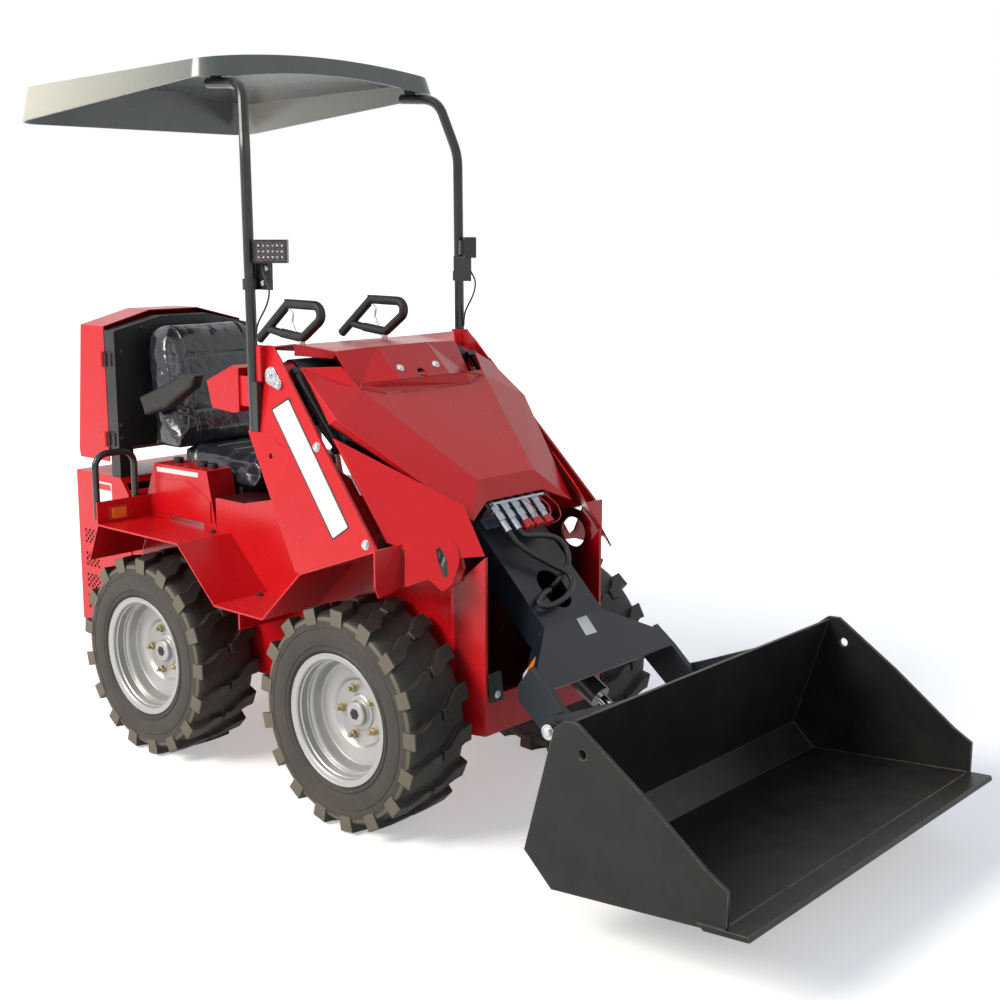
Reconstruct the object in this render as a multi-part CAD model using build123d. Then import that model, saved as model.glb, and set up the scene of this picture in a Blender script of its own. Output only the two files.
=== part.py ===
from build123d import *
import math
import os

os.makedirs("parts", exist_ok=True)

# Frame: millimetres, +X forward to the bucket, +Y to the machine's left, +Z up.
# The origin lies on the ground, under the middle of the wheelbase.

# Running gear
wheelbase = 817.0
tyre_radius = 288.0
tyre_width = 198.0
tyre_outer_y = 471.0
rim_flange_radius = 170.0
rim_barrel_radius = 155.0
rim_wall = 4.0
rim_flange_inset = 5.0
disc_depth = 85.0
disc_wall = 8.0
hub_radius = 52.0
hub_length = 26.0
spindle_radius = 22.0
running_gap = 0.5
wheel_sides = 34
lug_pairs = 17
lug_height = 22.0
lug_width = 44.0
lug_lead = 30.0
lug_foot_radius = 240.0

# Chassis
chassis_half_width = 255.0
chassis_wall = 8.0
chassis_bottom = 215.0
chassis_front_x = 695.0
chassis_front_half_width = 228.0
chassis_facet_x = 605.0
chassis_front_z = 250.0
chassis_top_z = 560.0
chassis_rear_x = -750.0
cross_plate_top_z = 350.0

# Fender, step and tower
fender_half_width = 440.0
fender_wall = 5.0
deck_z = 634.0
step_z = 487.0
step_half_length = 101.0
slope_top_x = 258.0
fender_rear_x = -640.0
upstand_height = 64.0
front_deck_x = 528.0
front_deck_z = 732.0
tower_top_y = 370.0
tower_top_z = 1190.0
panel_wall = 5.0
inner_plate_y = 325.0
inner_plate_wall = 10.0
pivot_boss_radius = 31.0
boom_end_y = 312.0

# Boom
pivot_x = 92.0
pivot_z = 1115.0
pivot_tube_radius = 37.0
pivot_pin_radius = 20.0
boom_angle = 44.6
boom_half_width = 115.0
boom_wall = 8.0
boom_knee_x = 789.0
boom_knee_z = 524.0
head_angle = 36.5
head_length = 163.0
head_flare_length = 115.0
head_depth = 72.0
leg_width = 50.0
leg_bend_u = 250.0
lug_root_u = 190.0
root_half_width = 100.0
hose_hole_u = 818.0
hose_hole_length = 116.0
hose_hole_width = 86.0
fork_half_width = 256.0
fork_wall = 16.0
tilt_pin_x = 955.0
tilt_pin_z = 345.0
tilt_pin_radius = 16.0

# Cylinders
lift_barrel_radius = 36.0
lift_rod_radius = 17.0
tilt_barrel_radius = 30.0
tilt_rod_radius = 13.0
rod_gap = 0.3
eye_radius = 24.0
eye_half_width = 18.0
clevis_gap = 0.5
clevis_wall = 10.0
clevis_radius = 26.0
cylinder_pin_radius = 11.0

# Bucket
bucket_half_width = 545.0
bucket_wall = 6.0
bucket_side_wall = 8.0
edge_wall = 12.0
edge_half_width = 549.0
bucket_hole_radius = 11.0

# Seat, engine box and canopy
console_inner_y = 165.0
back_half_width = 195.0
box_half_width = 259.0
box_front_x = -786.0
hinge_x = -840.0
hinge_y = -(box_half_width + 9)
hinge_heights = (1091, 846)
hinge_barrel_radius = 7.0
box_bottom_z = 822.0
cover_wall = 3.0
post_x = 34.0
post_y = 388.0
post_radius = 14.0
post_foot_z = 968.0
post_bend_z = 1690.0
post_top_y = 350.0
post_top_z = 1854.0
roof_half_width = 429.0
roof_front_x = -76.0
roof_front_z = 1866.0
roof_rear_x = -990.0
roof_rear_z = 1783.0
roof_wall = 6.0
roof_corner = 70.0
roof_taper = 14.5
crown_z = 1939.0
crown_rise = 33.5
crown_slope = 0.03
lip_arch = 26.0


def outline_y(points, y_low, y_high):
    """XZ outline pushed from y_low to y_high."""
    face = Plane.XZ.offset(-y_high) * make_face(Polyline(*points, close=True))
    return extrude(face, amount=y_high - y_low)


def block(x_low, x_high, y_low, y_high, z_low, z_high):
    """Box between two corners."""
    size = (x_high - x_low, y_high - y_low, z_high - z_low)
    middle = ((x_low + x_high) / 2, (y_low + y_high) / 2, (z_low + z_high) / 2)
    return Pos(*middle) * Box(*size)


def rod_y(x, z, radius, y_low, y_high):
    """Cylinder along Y."""
    place = Pos(x, (y_low + y_high) / 2, z) * Rot(X=90)
    return place * Cylinder(radius, y_high - y_low)


def panel(points, push):
    """Sheet over a 3-D polygon, pushed by its wall; one fold per corner that lies off the first plane."""
    corners = [Vector(*p) for p in points]
    normal = (corners[1] - corners[0]).cross(corners[2] - corners[0]).normalized()
    flat = all(abs((corner - corners[0]).dot(normal)) < 1e-4 for corner in corners)
    fan = [corners] if flat else [[corners[0], a, b] for a, b in zip(corners[1:], corners[2:])]
    sheet = Part()
    for face_corners in fan:
        sheet += Solid.extrude(Face(Wire.make_polygon(face_corners)), Vector(*push))
    return sheet


def tube(points, radii, radius, sides=0):
    """Round or many-sided rod along straight runs joined by tangent arcs."""
    path = FilletPolyline(*points, radius=radii) if radii else Line(*points)
    start = Plane(origin=path @ 0, z_dir=path % 0)
    section = RegularPolygon(radius, sides) if sides else Circle(radius)
    return sweep(start * section, path=path)


def lathe(profile, sides):
    """Ring with flat facets: a closed (radius, y) profile turned about Y in equal steps."""
    turns = [2 * math.pi * i / sides for i in range(sides + 1)]
    facets = []
    for (r0, y0), (r1, y1) in zip(profile, profile[1:] + profile[:1]):
        for a0, a1 in zip(turns, turns[1:]):
            corners = [
                (r0 * math.cos(a0), y0, r0 * math.sin(a0)),
                (r0 * math.cos(a1), y0, r0 * math.sin(a1)),
                (r1 * math.cos(a1), y1, r1 * math.sin(a1)),
                (r1 * math.cos(a0), y1, r1 * math.sin(a0)),
            ]
            facets.append(Face(Wire.make_polygon([Vector(*corner) for corner in corners])))
    return Solid(Shell(facets))


def both(shape):
    """The shape and its mirror image across the centre plane."""
    return shape + mirror(shape, about=Plane.XZ)


def save(shape, name):
    export_step(shape, "parts/" + name + ".step")


def along(origin, direction, distance):
    """Point at a distance from an XZ point along an XZ direction."""
    return (origin[0] + direction[0] * distance, origin[1] + direction[1] * distance)


def unit(start, end):
    """Unit vector in XZ from start to end, and the length."""
    length = math.hypot(end[0] - start[0], end[1] - start[1])
    return ((end[0] - start[0]) / length, (end[1] - start[1]) / length), length


# Wheels: profiles are (radius, y) with y measured outward from the tyre's middle.
half_tyre = tyre_width / 2
flange_y = half_tyre - rim_flange_inset
disc_y = flange_y - disc_depth
bead_y = flange_y - rim_wall
tyre_bead = rim_barrel_radius + rod_gap
carcass_radius = tyre_radius - lug_height
tyre_half_profile = [
    (tyre_bead, bead_y - rod_gap),
    (rim_flange_radius + rod_gap, bead_y - rod_gap),
    (rim_flange_radius + 7, flange_y + 1),
    (lug_foot_radius, half_tyre),
    (carcass_radius - 4, half_tyre * 0.84),
]
tyre_profile = tyre_half_profile + [(r, -y) for r, y in reversed(tyre_half_profile)]
tyre = lathe(tyre_profile, wheel_sides)
lug_reach = (lug_width + lug_lead) / 2
lug_top = math.sqrt(tyre_radius**2 - lug_reach**2)
lug_outline = [
    (-lug_reach, half_tyre),
    (-lug_reach + lug_width, half_tyre),
    (lug_reach, 4),
    (lug_reach - 0.7 * lug_width, 4),
]
for index in range(2 * lug_pairs):
    side = 1 if index % 2 else -1
    outline = [(t * side, y * side) for t, y in lug_outline]
    lug_face = Plane.XY.offset(lug_foot_radius) * make_face(Polyline(*outline, close=True))
    lug = extrude(lug_face, lug_top - lug_foot_radius)
    tyre += Rot(Y=360 * (index + 0.5) / (2 * lug_pairs)) * lug
rim_profile = [
    (rim_barrel_radius, -bead_y),
    (rim_flange_radius, -bead_y),
    (rim_flange_radius, -flange_y),
    (rim_barrel_radius - rim_wall, -flange_y),
    (rim_barrel_radius - rim_wall, disc_y - disc_wall),
    (hub_radius - 10, disc_y - disc_wall),
    (hub_radius - 10, disc_y),
    (hub_radius + 30, disc_y),
    (hub_radius + 42, disc_y + 10),
    (rim_barrel_radius - 22, disc_y + 10),
    (rim_barrel_radius - 14, disc_y + 40),
    (rim_barrel_radius - rim_wall, disc_y + 46),
    (rim_barrel_radius - rim_wall, flange_y - 4),
    (rim_flange_radius - 4, flange_y),
    (rim_flange_radius, flange_y),
    (rim_flange_radius, bead_y),
    (rim_barrel_radius, bead_y),
]
rim = lathe(rim_profile, wheel_sides)
hub_end_y = disc_y - disc_wall - hub_length
hub = rod_y(0, 0, hub_radius, hub_end_y, disc_y)
cap = rod_y(0, 0, 32, disc_y, disc_y + 24)
bore = rod_y(0, 0, spindle_radius + running_gap, hub_end_y, disc_y)
rim = rim + hub + cap - bore

wheel_middle_y = tyre_outer_y - half_tyre
# Each row: name, x of the axle, side (-1 right, +1 left).
wheels = [
    ("front_right", wheelbase / 2, -1),
    ("front_left", wheelbase / 2, 1),
    ("rear_right", -wheelbase / 2, -1),
    ("rear_left", -wheelbase / 2, 1),
]
for name, axle_x, side in wheels:
    place = Pos(axle_x, side * wheel_middle_y, tyre_radius)
    if side < 0:
        place = place * Rot(Z=180)
    save(place * tyre, "tyre_" + name)
    save(place * rim, "rim_" + name)

# Axle housings: one on each side of each axle, with the spindle that carries the hub.
housing_end_y = wheel_middle_y + disc_y - disc_wall - hub_length - running_gap
spindle_end_y = wheel_middle_y + disc_y - running_gap
housings = Part()
for axle_x in (-wheelbase / 2, wheelbase / 2):
    housing = rod_y(axle_x, tyre_radius, 62, chassis_half_width, housing_end_y)
    spindle = rod_y(axle_x, tyre_radius, spindle_radius, housing_end_y, spindle_end_y)
    housings += both(housing + spindle)
save(housings, "axle_housings")

# Chassis tub: two side plates, a floor, a front cross plate and a rear bulkhead.
wall_top_z = 727.0
console_front_x = -322.0
ring_x = 583.0
ring_z = 677.0
ring_hole_radius = 41.0
side_outline = [
    (chassis_rear_x, chassis_bottom + 30),
    (chassis_facet_x, chassis_bottom + 30),
    (chassis_facet_x, 560),
    (606, 618),
    (638, 642),
    (648, 676),
    (636, 712),
    (609, 736),
    (575, 743),
    (front_deck_x + 14, front_deck_z + 6),
    (slope_top_x, deck_z - fender_wall),
    (230, wall_top_z + 24),
    (-80, wall_top_z + 24),
    (-193, wall_top_z),
    (console_front_x, wall_top_z),
    (console_front_x, deck_z - fender_wall),
    (chassis_rear_x, deck_z - fender_wall),
]
side_plate = outline_y(side_outline, chassis_half_width - chassis_wall, chassis_half_width)
side_plate -= rod_y(ring_x, ring_z, ring_hole_radius, chassis_half_width - 20, chassis_half_width + 5)
inner_half = chassis_half_width - chassis_wall
bay_cover = block(console_front_x, -40, -inner_half, inner_half, wall_top_z - 5, wall_top_z)
seat_floor_z = deck_z - fender_wall
seat_floor = block(chassis_rear_x, console_front_x, -inner_half, inner_half, seat_floor_z - 5, seat_floor_z)
facet = panel(
    [
        (chassis_facet_x, -chassis_half_width, chassis_front_z),
        (chassis_front_x, -chassis_front_half_width, chassis_front_z),
        (chassis_front_x, -chassis_front_half_width, 705),
        (chassis_facet_x, -chassis_half_width, 617),
    ],
    (0, chassis_wall, 0),
)
floor = block(chassis_rear_x, chassis_facet_x, -inner_half, inner_half, chassis_bottom + 30, chassis_bottom + 38)
cross_plate = block(
    chassis_front_x - 8,
    chassis_front_x,
    -chassis_front_half_width,
    chassis_front_half_width,
    chassis_front_z,
    cross_plate_top_z,
)
cross_plate -= block(chassis_front_x - 20, chassis_front_x + 5, -55, 55, cross_plate_top_z - 45, cross_plate_top_z + 5)
nose_floor = panel(
    [
        (chassis_facet_x, -inner_half, chassis_front_z),
        (chassis_front_x - 8, -chassis_front_half_width + 2, chassis_front_z),
        (chassis_front_x - 8, chassis_front_half_width - 2, chassis_front_z),
        (chassis_facet_x, inner_half, chassis_front_z),
    ],
    (0, 0, 8),
)
bulkhead = block(console_front_x, console_front_x + 8, -inner_half, inner_half, chassis_bottom + 38, wall_top_z)
tub = both(side_plate) + both(facet) + floor + cross_plate + nose_floor + bulkhead + bay_cover + seat_floor
save(tub, "chassis_tub")

# Rear housing under the engine box, with four vents down each side.
housing_chamfer_x = -791.0
housing_top_z = 730.0
vent_depth = 4.0
housing_half_width = chassis_half_width + 3
rear_outline = [
    (-1035, 243),
    (chassis_rear_x - 0.3, 243),
    (chassis_rear_x - 0.3, 681),
    (housing_chamfer_x, housing_top_z),
    (-1030, housing_top_z),
]
rear_housing = outline_y(rear_outline, -housing_half_width, housing_half_width)
rear_cavity = block(-1015, chassis_rear_x - 10, -245, 245, 262, 712)
rear_housing -= rear_cavity
for vent_z in (521, 446, 376, 306):
    vent = block(-1000, -927, housing_half_width - vent_depth, housing_half_width + 5, vent_z - 23, vent_z + 23)
    rear_housing -= both(vent)
save(rear_housing, "rear_housing")
save(block(-1005, -770, -190, 190, 262.3, 640), "engine_block")

# Engine box: black front panel with side returns, on two legs.
apex_half_width = 90.0
box_section = [
    (-box_half_width, box_bottom_z),
    (box_half_width, box_bottom_z),
    (box_half_width, 1178),
    (apex_half_width, 1216),
    (-apex_half_width, 1216),
    (-box_half_width, 1178),
]


def across(points, x_low, x_high):
    """YZ outline pushed from x_low to x_high."""
    face = Plane.YZ.offset(x_low) * make_face(Polyline(*points, close=True))
    return extrude(face, amount=x_high - x_low)


def inset_section(points, wall):
    """The same outline, smaller by a wall all round."""
    return offset(make_face(Polyline(*points, close=True)), amount=-wall)


box_outer = across(box_section, hinge_x + 4, box_front_x)
box_inner = extrude(Plane.YZ.offset(hinge_x + 4) * inset_section(box_section, cover_wall), amount=46)
box_floor = block(hinge_x + 4, box_front_x, -box_half_width, box_half_width, box_bottom_z, box_bottom_z + 5)
box_legs = both(
    outline_y(
        [
            (-836, housing_top_z + rod_gap),
            (housing_chamfer_x, housing_top_z + rod_gap),
            (housing_chamfer_x, box_bottom_z),
            (-836, box_bottom_z),
        ],
        205,
        255,
    )
)
radiator = block(-930, hinge_x + 4, -200, 200, box_bottom_z, 1150)
box_leaves = Part()
for hinge_z in hinge_heights:
    leaf_x = hinge_x + hinge_barrel_radius + rod_gap
    box_leaves += block(leaf_x, leaf_x + 10, hinge_y, -box_half_width + 1, hinge_z - 20, hinge_z + 20)
    box_leaves += block(leaf_x, leaf_x + 30, hinge_y + 5, -box_half_width + 1, hinge_z - 20, hinge_z + 20)
save(box_outer - box_inner + box_floor + box_legs + radiator + box_leaves, "engine_box")

# Engine cover: shell hinged on its right front edge.
cover_front = hinge_x
cover_solid = outline_y(
    [(cover_front, 775), (-1000, 775), (-1005, 800), (-950, 1300), (cover_front, 1300)],
    -box_half_width,
    box_half_width,
)
roof_trim = across(
    [
        (-box_half_width, 700),
        (box_half_width, 700),
        (box_half_width, 1190),
        (apex_half_width, 1233),
        (-apex_half_width, 1233),
        (-box_half_width, 1190),
    ],
    -1010,
    cover_front,
)
cover_solid = cover_solid & roof_trim
hollow = outline_y(
    [(cover_front, 770), (-997, 770), (-1002, 800), (-947, 1300), (cover_front, 1300)],
    -box_half_width + cover_wall,
    box_half_width - cover_wall,
)
hollow_trim = across(
    [
        (-box_half_width, 700),
        (box_half_width, 700),
        (box_half_width, 1187),
        (apex_half_width, 1230),
        (-apex_half_width, 1230),
        (-box_half_width, 1187),
    ],
    -1010,
    cover_front,
)
engine_cover = cover_solid - (hollow & hollow_trim)
hinges = Part()
for hinge_z in hinge_heights:
    hinges += Pos(hinge_x, hinge_y, hinge_z) * Cylinder(hinge_barrel_radius, 44)
    hinges += block(hinge_x - 26, hinge_x, hinge_y, -box_half_width, hinge_z - 20, hinge_z + 20)
save(engine_cover + hinges, "engine_cover")


# Fender, step and lower fender: one folded sheet on each side.
def deck_strip(points, wall):
    """Folded sheet seen from the side: the fold line and its copy one wall lower."""
    lower = [(x, z - wall) for x, z in reversed(points)]
    return list(points) + lower


fold_line = [
    (fender_rear_x, deck_z),
    (-slope_top_x, deck_z),
    (-step_half_length, step_z),
    (step_half_length, step_z),
    (slope_top_x, deck_z),
    (front_deck_x, front_deck_z),
]
fender = outline_y(deck_strip(fold_line, fender_wall), chassis_half_width, fender_half_width)
upstand = block(
    fender_rear_x - fender_wall,
    fender_rear_x,
    chassis_half_width,
    fender_half_width,
    deck_z - fender_wall,
    deck_z + upstand_height,
)
flap = outline_y(
    [(fender_rear_x, deck_z - 5), (-690, 520), (-695, 520), (fender_rear_x - 5, deck_z - 5)],
    chassis_half_width + 3,
    fender_half_width,
)
gusset = block(-3, 3, chassis_half_width, fender_half_width - 4, 436, step_z - fender_wall)
front_outline = [
    (chassis_half_width + 0.3, front_deck_z + 5),
    (fender_half_width, front_deck_z),
    (fender_half_width, 640),
    (428, 614),
    (380, 620),
    (320, 640),
    (chassis_half_width + 0.3, 646),
]
front_plate = across(front_outline, front_deck_x, front_deck_x + fender_wall)


def tower_y(z):
    """Half width of the tower's outer panel, which leans out towards the deck."""
    slope = (fender_half_width - tower_top_y) / (tower_top_z - deck_z)
    return tower_top_y + slope * (tower_top_z - z)


deck_slope = (front_deck_z - deck_z) / (front_deck_x - slope_top_x)
cover_plate_wall = 4.0
tower_outline = [
    (60, tower_top_z),
    (60, post_foot_z),
    (16, post_foot_z),
    (240, deck_z + 0.3),
    (slope_top_x, deck_z + 0.3),
    (front_deck_x - 6, front_deck_z - 1.2),
    (161, 1113),
    (118, 1160),
    (85, tower_top_z),
]
# Bolted-on cover plate: wide below, with a narrow tongue up the front edge.
cover_outline = [
    (16, post_foot_z),
    (75, post_foot_z),
    (105, 962),
    (139, 945),
    (175, 938),
    (208, 938),
    (176, 1062),
    (172, 1096),
    (161, 1113),
    (front_deck_x - 6, front_deck_z - 1.2),
    (slope_top_x, deck_z + 0.3),
    (240, deck_z + 0.3),
]


def on_tower(points, inset):
    """Points on the tower's leaning side, inward from its cover plate by the inset."""
    return [(x, tower_y(z) - inset, z) for x, z in points]


outer_panel = panel(on_tower(tower_outline, cover_plate_wall), (0, -panel_wall, 0))
cover_plate = panel(on_tower(cover_outline, 0), (0, -cover_plate_wall, 0))
inner_outline = [
    (26, 925),
    (238, deck_z + 0.3),
    (slope_top_x, deck_z + 0.3),
    (430, deck_z + 0.3 + (430 - slope_top_x) * deck_slope),
    (430, 740),
    (330, 868),
    (245, 903),
    (205, 925),
]
inner_plate = outline_y(inner_outline, inner_plate_y, inner_plate_y + inner_plate_wall)
boss_inner_y = boom_end_y + 3
corners = [(-100, 1300), (-100, 900), (300, 900), (300, 1300)]
outside = panel(on_tower(corners, cover_plate_wall + 2), (0, 80, 0))
boss = rod_y(pivot_x, pivot_z, pivot_boss_radius, boss_inner_y, tower_top_y + 40) - outside
pin_hole = rod_y(pivot_x, pivot_z, pivot_pin_radius + 0.1, boss_inner_y - 5, tower_top_y + 30)
# Post seat: a strip behind each post, a web beside it and a short flange outside.
post_rear_x = post_x - post_radius - rod_gap
post_front_x = post_x + post_radius + rod_gap
dash_lip_z = 1175.2
rear_strip = block(post_rear_x - 6, post_rear_x, 296, 420, post_foot_z, dash_lip_z) - outside
strip_web = block(post_rear_x, 62, post_y - post_radius - 6, post_y - post_radius - 1, 1090, tower_top_z)
post_flange = block(post_front_x, 66, post_y - 2, post_y + 2, 1098, tower_top_z)
post_flange += block(62, 66, tower_top_y - 10, post_y, 1098, tower_top_z)
tower = outer_panel + cover_plate + inner_plate + rear_strip + strip_web + boss + post_flange - pin_hole
tower -= rod_y(115, 912, 8, 300, 440)
save(both(tower), "tower_sides")

# Dash between the towers.
dash_back = (-60, 300, 1172)
dash_rear_middle = (-60, 95, 1172)
dash_outer = (93, 300, 1191)
dash_corner = (167, 226, 1171)
dash_crease = (185, 95, 1177)
dash_foot = (272, 95, 1096)
dash_low = (240, 215, 1074)


def flip(point):
    """Mirror image of a point across the centre plane."""
    return (point[0], -point[1], point[2])


dash_sheets = [
    ([dash_back, dash_outer, dash_corner, dash_crease, dash_rear_middle], (0, 0, -4)),
    ([dash_crease, dash_corner, dash_low, dash_foot], (-3, 0, -3)),
    ([dash_outer, dash_corner, (162, 226, 1152), (93, 300, 1160)], (0, -4, 0)),
]
dash = Part()
for corners, push in dash_sheets:
    dash += both(panel(corners, push))
dash += panel([dash_rear_middle, flip(dash_rear_middle), flip(dash_crease), dash_crease], (0, 0, -4))
dash += panel([dash_crease, flip(dash_crease), flip(dash_foot), dash_foot], (-3, 0, -3))
dash -= Pos(243, 0, 1120) * Rot(Y=43) * Pos(22, 0, 0) * Cylinder(16, 40)
save(dash, "dash_panel")

# Fixed cowls over the front wheels.
cowl_a = (307.9, -361.5, 972.0)
cowl_e = (505, -370, 738)
cowl_b = (613, -215, 820)
cowl_c = (695, -228, 709)
cowl_plane = Plane(
    origin=cowl_a,
    x_dir=Vector(*cowl_e) - Vector(*cowl_a),
    z_dir=(Vector(*cowl_e) - Vector(*cowl_a)).cross(Vector(*cowl_b) - Vector(*cowl_a)),
)


def on_cowl(x, z):
    """Point of the cowl's big face above the given x and z."""
    normal = cowl_plane.z_dir
    base = cowl_plane.origin
    y = base.Y - (normal.X * (x - base.X) + normal.Z * (z - base.Z)) / normal.Y
    return (x, y, z)


cowl_points = [on_cowl(*p) for p in [(307.9, 972.0), (505, 738), (600, 700), (695, 709), (613, 820)]]
cowl = panel(cowl_points, (-4, 0, -2))
strip_inner_y = -350.5
strip_corners = [cowl_a, cowl_e, (497, strip_inner_y, 734), (299.9, strip_inner_y, 968.0)]
strip = panel(strip_corners, (-4, 0, -4))
save(both(mirror(cowl + strip, about=Plane.XZ)), "cowls")
behind_cowl = mirror(panel(cowl_points, (-90, 0, -45)) + panel(cowl_points, (1, 0, 1)), about=Plane.XZ)
ring_clear = block(front_deck_x - 30, 700, chassis_half_width - 20, chassis_half_width + 0.3, 500, 800)
save(both(fender + upstand + flap + gusset - behind_cowl - ring_clear), "fenders")
save(both(front_plate - behind_cowl), "front_fender_plates")

# Seat, its base and the consoles beside it.
console_foot_z = seat_floor_z + rod_gap
console_outline = [
    (-655, console_foot_z),
    (-655, 693),
    (-615, 796),
    (console_front_x - 38, 799),
    (console_front_x - rod_gap, console_foot_z),
]
consoles = outline_y(console_outline, console_inner_y, inner_half - rod_gap)
console_skirt = outline_y(
    [(x, max(z, deck_z + rod_gap)) for x, z in console_outline], inner_half - rod_gap, chassis_half_width
)
hatch_outline = [(-603, 650), (-603, 748), (-459, 762), (-345, 712), (-345, 650)]
hatch = outline_y(hatch_outline, chassis_half_width, chassis_half_width + 4)
knobs = Part()
for knob_x in (-560, -440, -395):
    knobs += Pos(knob_x, 205, 797) * extrude(RegularPolygon(15, 12), 14, taper=8)
consoles = consoles + console_skirt + hatch + knobs
save(both(consoles), "seat_consoles")
seat_base = block(-600, console_front_x - 9, -150, 150, console_foot_z, 742)
save(seat_base, "seat_base")
cushion_back_z = 836.0
back_front_x = -575.0
cushion_outline = [
    (-612, 742.3),
    (-275, 742.3),
    (-240, 775),
    (-238, 805),
    (-262, 824),
    (back_front_x, cushion_back_z),
    (-612, 830),
]
save(outline_y(cushion_outline, -158, 158), "seat_cushion")
back_outline = [
    (-700, cushion_back_z + rod_gap),
    (back_front_x, cushion_back_z + rod_gap),
    (back_front_x + 9, 860),
    (-662, 1190),
    (-690, 1208),
    (-728, 1204),
    (-745, 1188),
]
back_half = [(110, 1212), (150, 1195), (185, 1130), (back_half_width, 1040), (back_half_width, 830)]
back_section = [(-y, z) for y, z in back_half] + list(reversed(back_half))
save(outline_y(back_outline, -200, 200) & across(back_section, -760, -540), "seat_back")
arm_outline = [(-693, 986), (-474, 1071), (-408, 1072), (-425, 1034), (-545, 960), (-667, 931)]
arm = outline_y(arm_outline, back_half_width + 15, back_half_width + 55)
arm_bolt = rod_y(-665, 958, 9, back_half_width + rod_gap, back_half_width + 15)
save(both(arm + arm_bolt), "armrests")

# Control handles: a closed loop of foam covered tube on each side.
handle_y = 155
dash_top_slope = (dash_crease[2] - dash_back[2]) / (dash_crease[0] - dash_back[0])
handle_foot_z = dash_back[2] + (-45 + 9 - dash_back[0]) * dash_top_slope + rod_gap
handle_corners = [(-226, 1178), (-98, 1281), (86, 1279), (-40, 1191)]
handle_path = [(x, handle_y, z) for x, z in handle_corners]
handle = tube(handle_path + [(-128, handle_y, 1200)], [22, 22, 22], 13, 8)
handle += tube([(-186, handle_y, 1209), (-120, handle_y, 1198)], None, 11, 8)
handle += tube([(-45, handle_y, 1200), (-45, handle_y, handle_foot_z)], None, 9, 8)
save(both(handle), "control_handles")

# Tower console behind the right post.
side_box = outline_y([(-222, 1077), (-107, 1126), (-85, 1120), (-85, 1003), (-109, 999), (-202, 1005)], 298, 345)
side_box += block(-90, post_rear_x - 6 - rod_gap, 334, 340, 1020, 1100)
save(both(side_box), "tower_consoles")

# Grab loops behind the rear fenders.
loop_x = fender_rear_x - fender_wall - 10.5
grab = tube(
    [(loop_x, 430, 645), (loop_x, 430, 836), (loop_x, 297, 836), (loop_x, 297, 645)],
    [40, 40],
    10,
    8,
)
save(both(grab), "grab_loops")

# Canopy posts and roof. The roof's crown is highest over the front lip and falls to both sides.
crown_x = -100.0
post_path = [
    (post_x, post_y, post_foot_z + 0.3),
    (post_x - 6, post_y, post_bend_z),
    (-16, 356, post_top_z - 18),
    (-60, post_top_y, post_top_z - 6),
    (-160, post_top_y, post_top_z),
]
post = tube(post_path, [180, 60, 90], post_radius, 12)
post += block(post_x, 59.7, post_y - 4, post_y + 12, post_foot_z + rod_gap, 1097)
crown_fall = crown_rise * ((post_top_y + 5) / (roof_half_width + 11)) ** 2
ceiling_z = crown_z - crown_fall - roof_wall - 2 * rod_gap
seat_outline = [
    (-145, post_top_z - 3),
    (-110, post_top_z - 3),
    (-110, ceiling_z + (-110 - crown_x) * crown_slope),
    (-145, ceiling_z + (-145 - crown_x) * crown_slope),
]
post += outline_y(seat_outline, post_top_y - 5, post_top_y + 5)
save(both(post), "canopy_posts")
slope_dir, roof_length = unit((roof_rear_x, roof_rear_z), (roof_front_x, roof_front_z))
roof_middle = ((roof_rear_x + roof_front_x) / 2, 0, (roof_rear_z + roof_front_z) / 2)
roof_plane = Plane(
    origin=roof_middle,
    x_dir=(slope_dir[0], 0, slope_dir[1]),
    z_dir=(-slope_dir[1], 0, slope_dir[0]),
)


def crown(drop):
    """Everything under the arched top, lowered by a drop."""
    rear_x = roof_rear_x - 20
    top = crown_z - drop + (rear_x - crown_x) * crown_slope
    side = roof_half_width + 11
    arch = Plane.YZ.offset(rear_x) * ThreePointArc((-side, top - crown_rise), (0, top), (side, top - crown_rise))
    sides = Plane.YZ.offset(rear_x) * Polyline(
        (-side, top - crown_rise), (-side, 1600), (side, 1600), (side, top - crown_rise)
    )
    return Solid.extrude(make_face(arch + sides).face(), Vector(1000, 0, 1000 * crown_slope))


def roof_block(inset):
    """Tapered block over the roof's tilted rim, smaller by an inset all round."""
    length = roof_length - 2 * inset
    rim_face = roof_plane * RectangleRounded(length, 2 * (roof_half_width - inset), roof_corner - inset)
    return extrude(rim_face, amount=170, taper=roof_taper)


lip_cut = Plane.YZ.offset(roof_front_x - 60) * make_face(
    Polyline((-375, roof_front_z - 40), (375, roof_front_z - 40), (375, roof_front_z - 6))
    + ThreePointArc((375, roof_front_z - 6), (0, roof_front_z + lip_arch), (-375, roof_front_z - 6))
    + Line((-375, roof_front_z - 6), (-375, roof_front_z - 40))
)
lip_cut = extrude(lip_cut, amount=80)
roof = roof_block(0) & crown(0)
roof -= roof_block(roof_wall) & crown(roof_wall)
roof -= lip_cut
save(roof, "canopy_roof")

# Work lamps on the posts.
lamp_bottom_z = 1399.0
lamp_place = Pos(92, 366, lamp_bottom_z + 29) * Rot(Z=48)
lamp = lamp_place * Box(34, 84, 58)
lamp -= lamp_place * Pos(17, 0, 0) * Box(6, 76, 50)
lamp += lamp_place * Pos(-22, 0, 0) * Box(12, 60, 40)
clamp_z = lamp_bottom_z - 54
lamp += block(post_x - 4, 96, 366, 371, clamp_z - 14, lamp_bottom_z + 3)
post_at_lamp = (post_x - 6 * (clamp_z - post_foot_z) / (post_bend_z - post_foot_z), post_y)
clamp = Pos(post_at_lamp[0], post_at_lamp[1], clamp_z) * Cylinder(post_radius + 5, 28)
clamp -= Pos(post_at_lamp[0], post_at_lamp[1], clamp_z) * Cylinder(post_radius + 0.6, 40)
save(both(lamp + clamp), "work_lamps")

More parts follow.
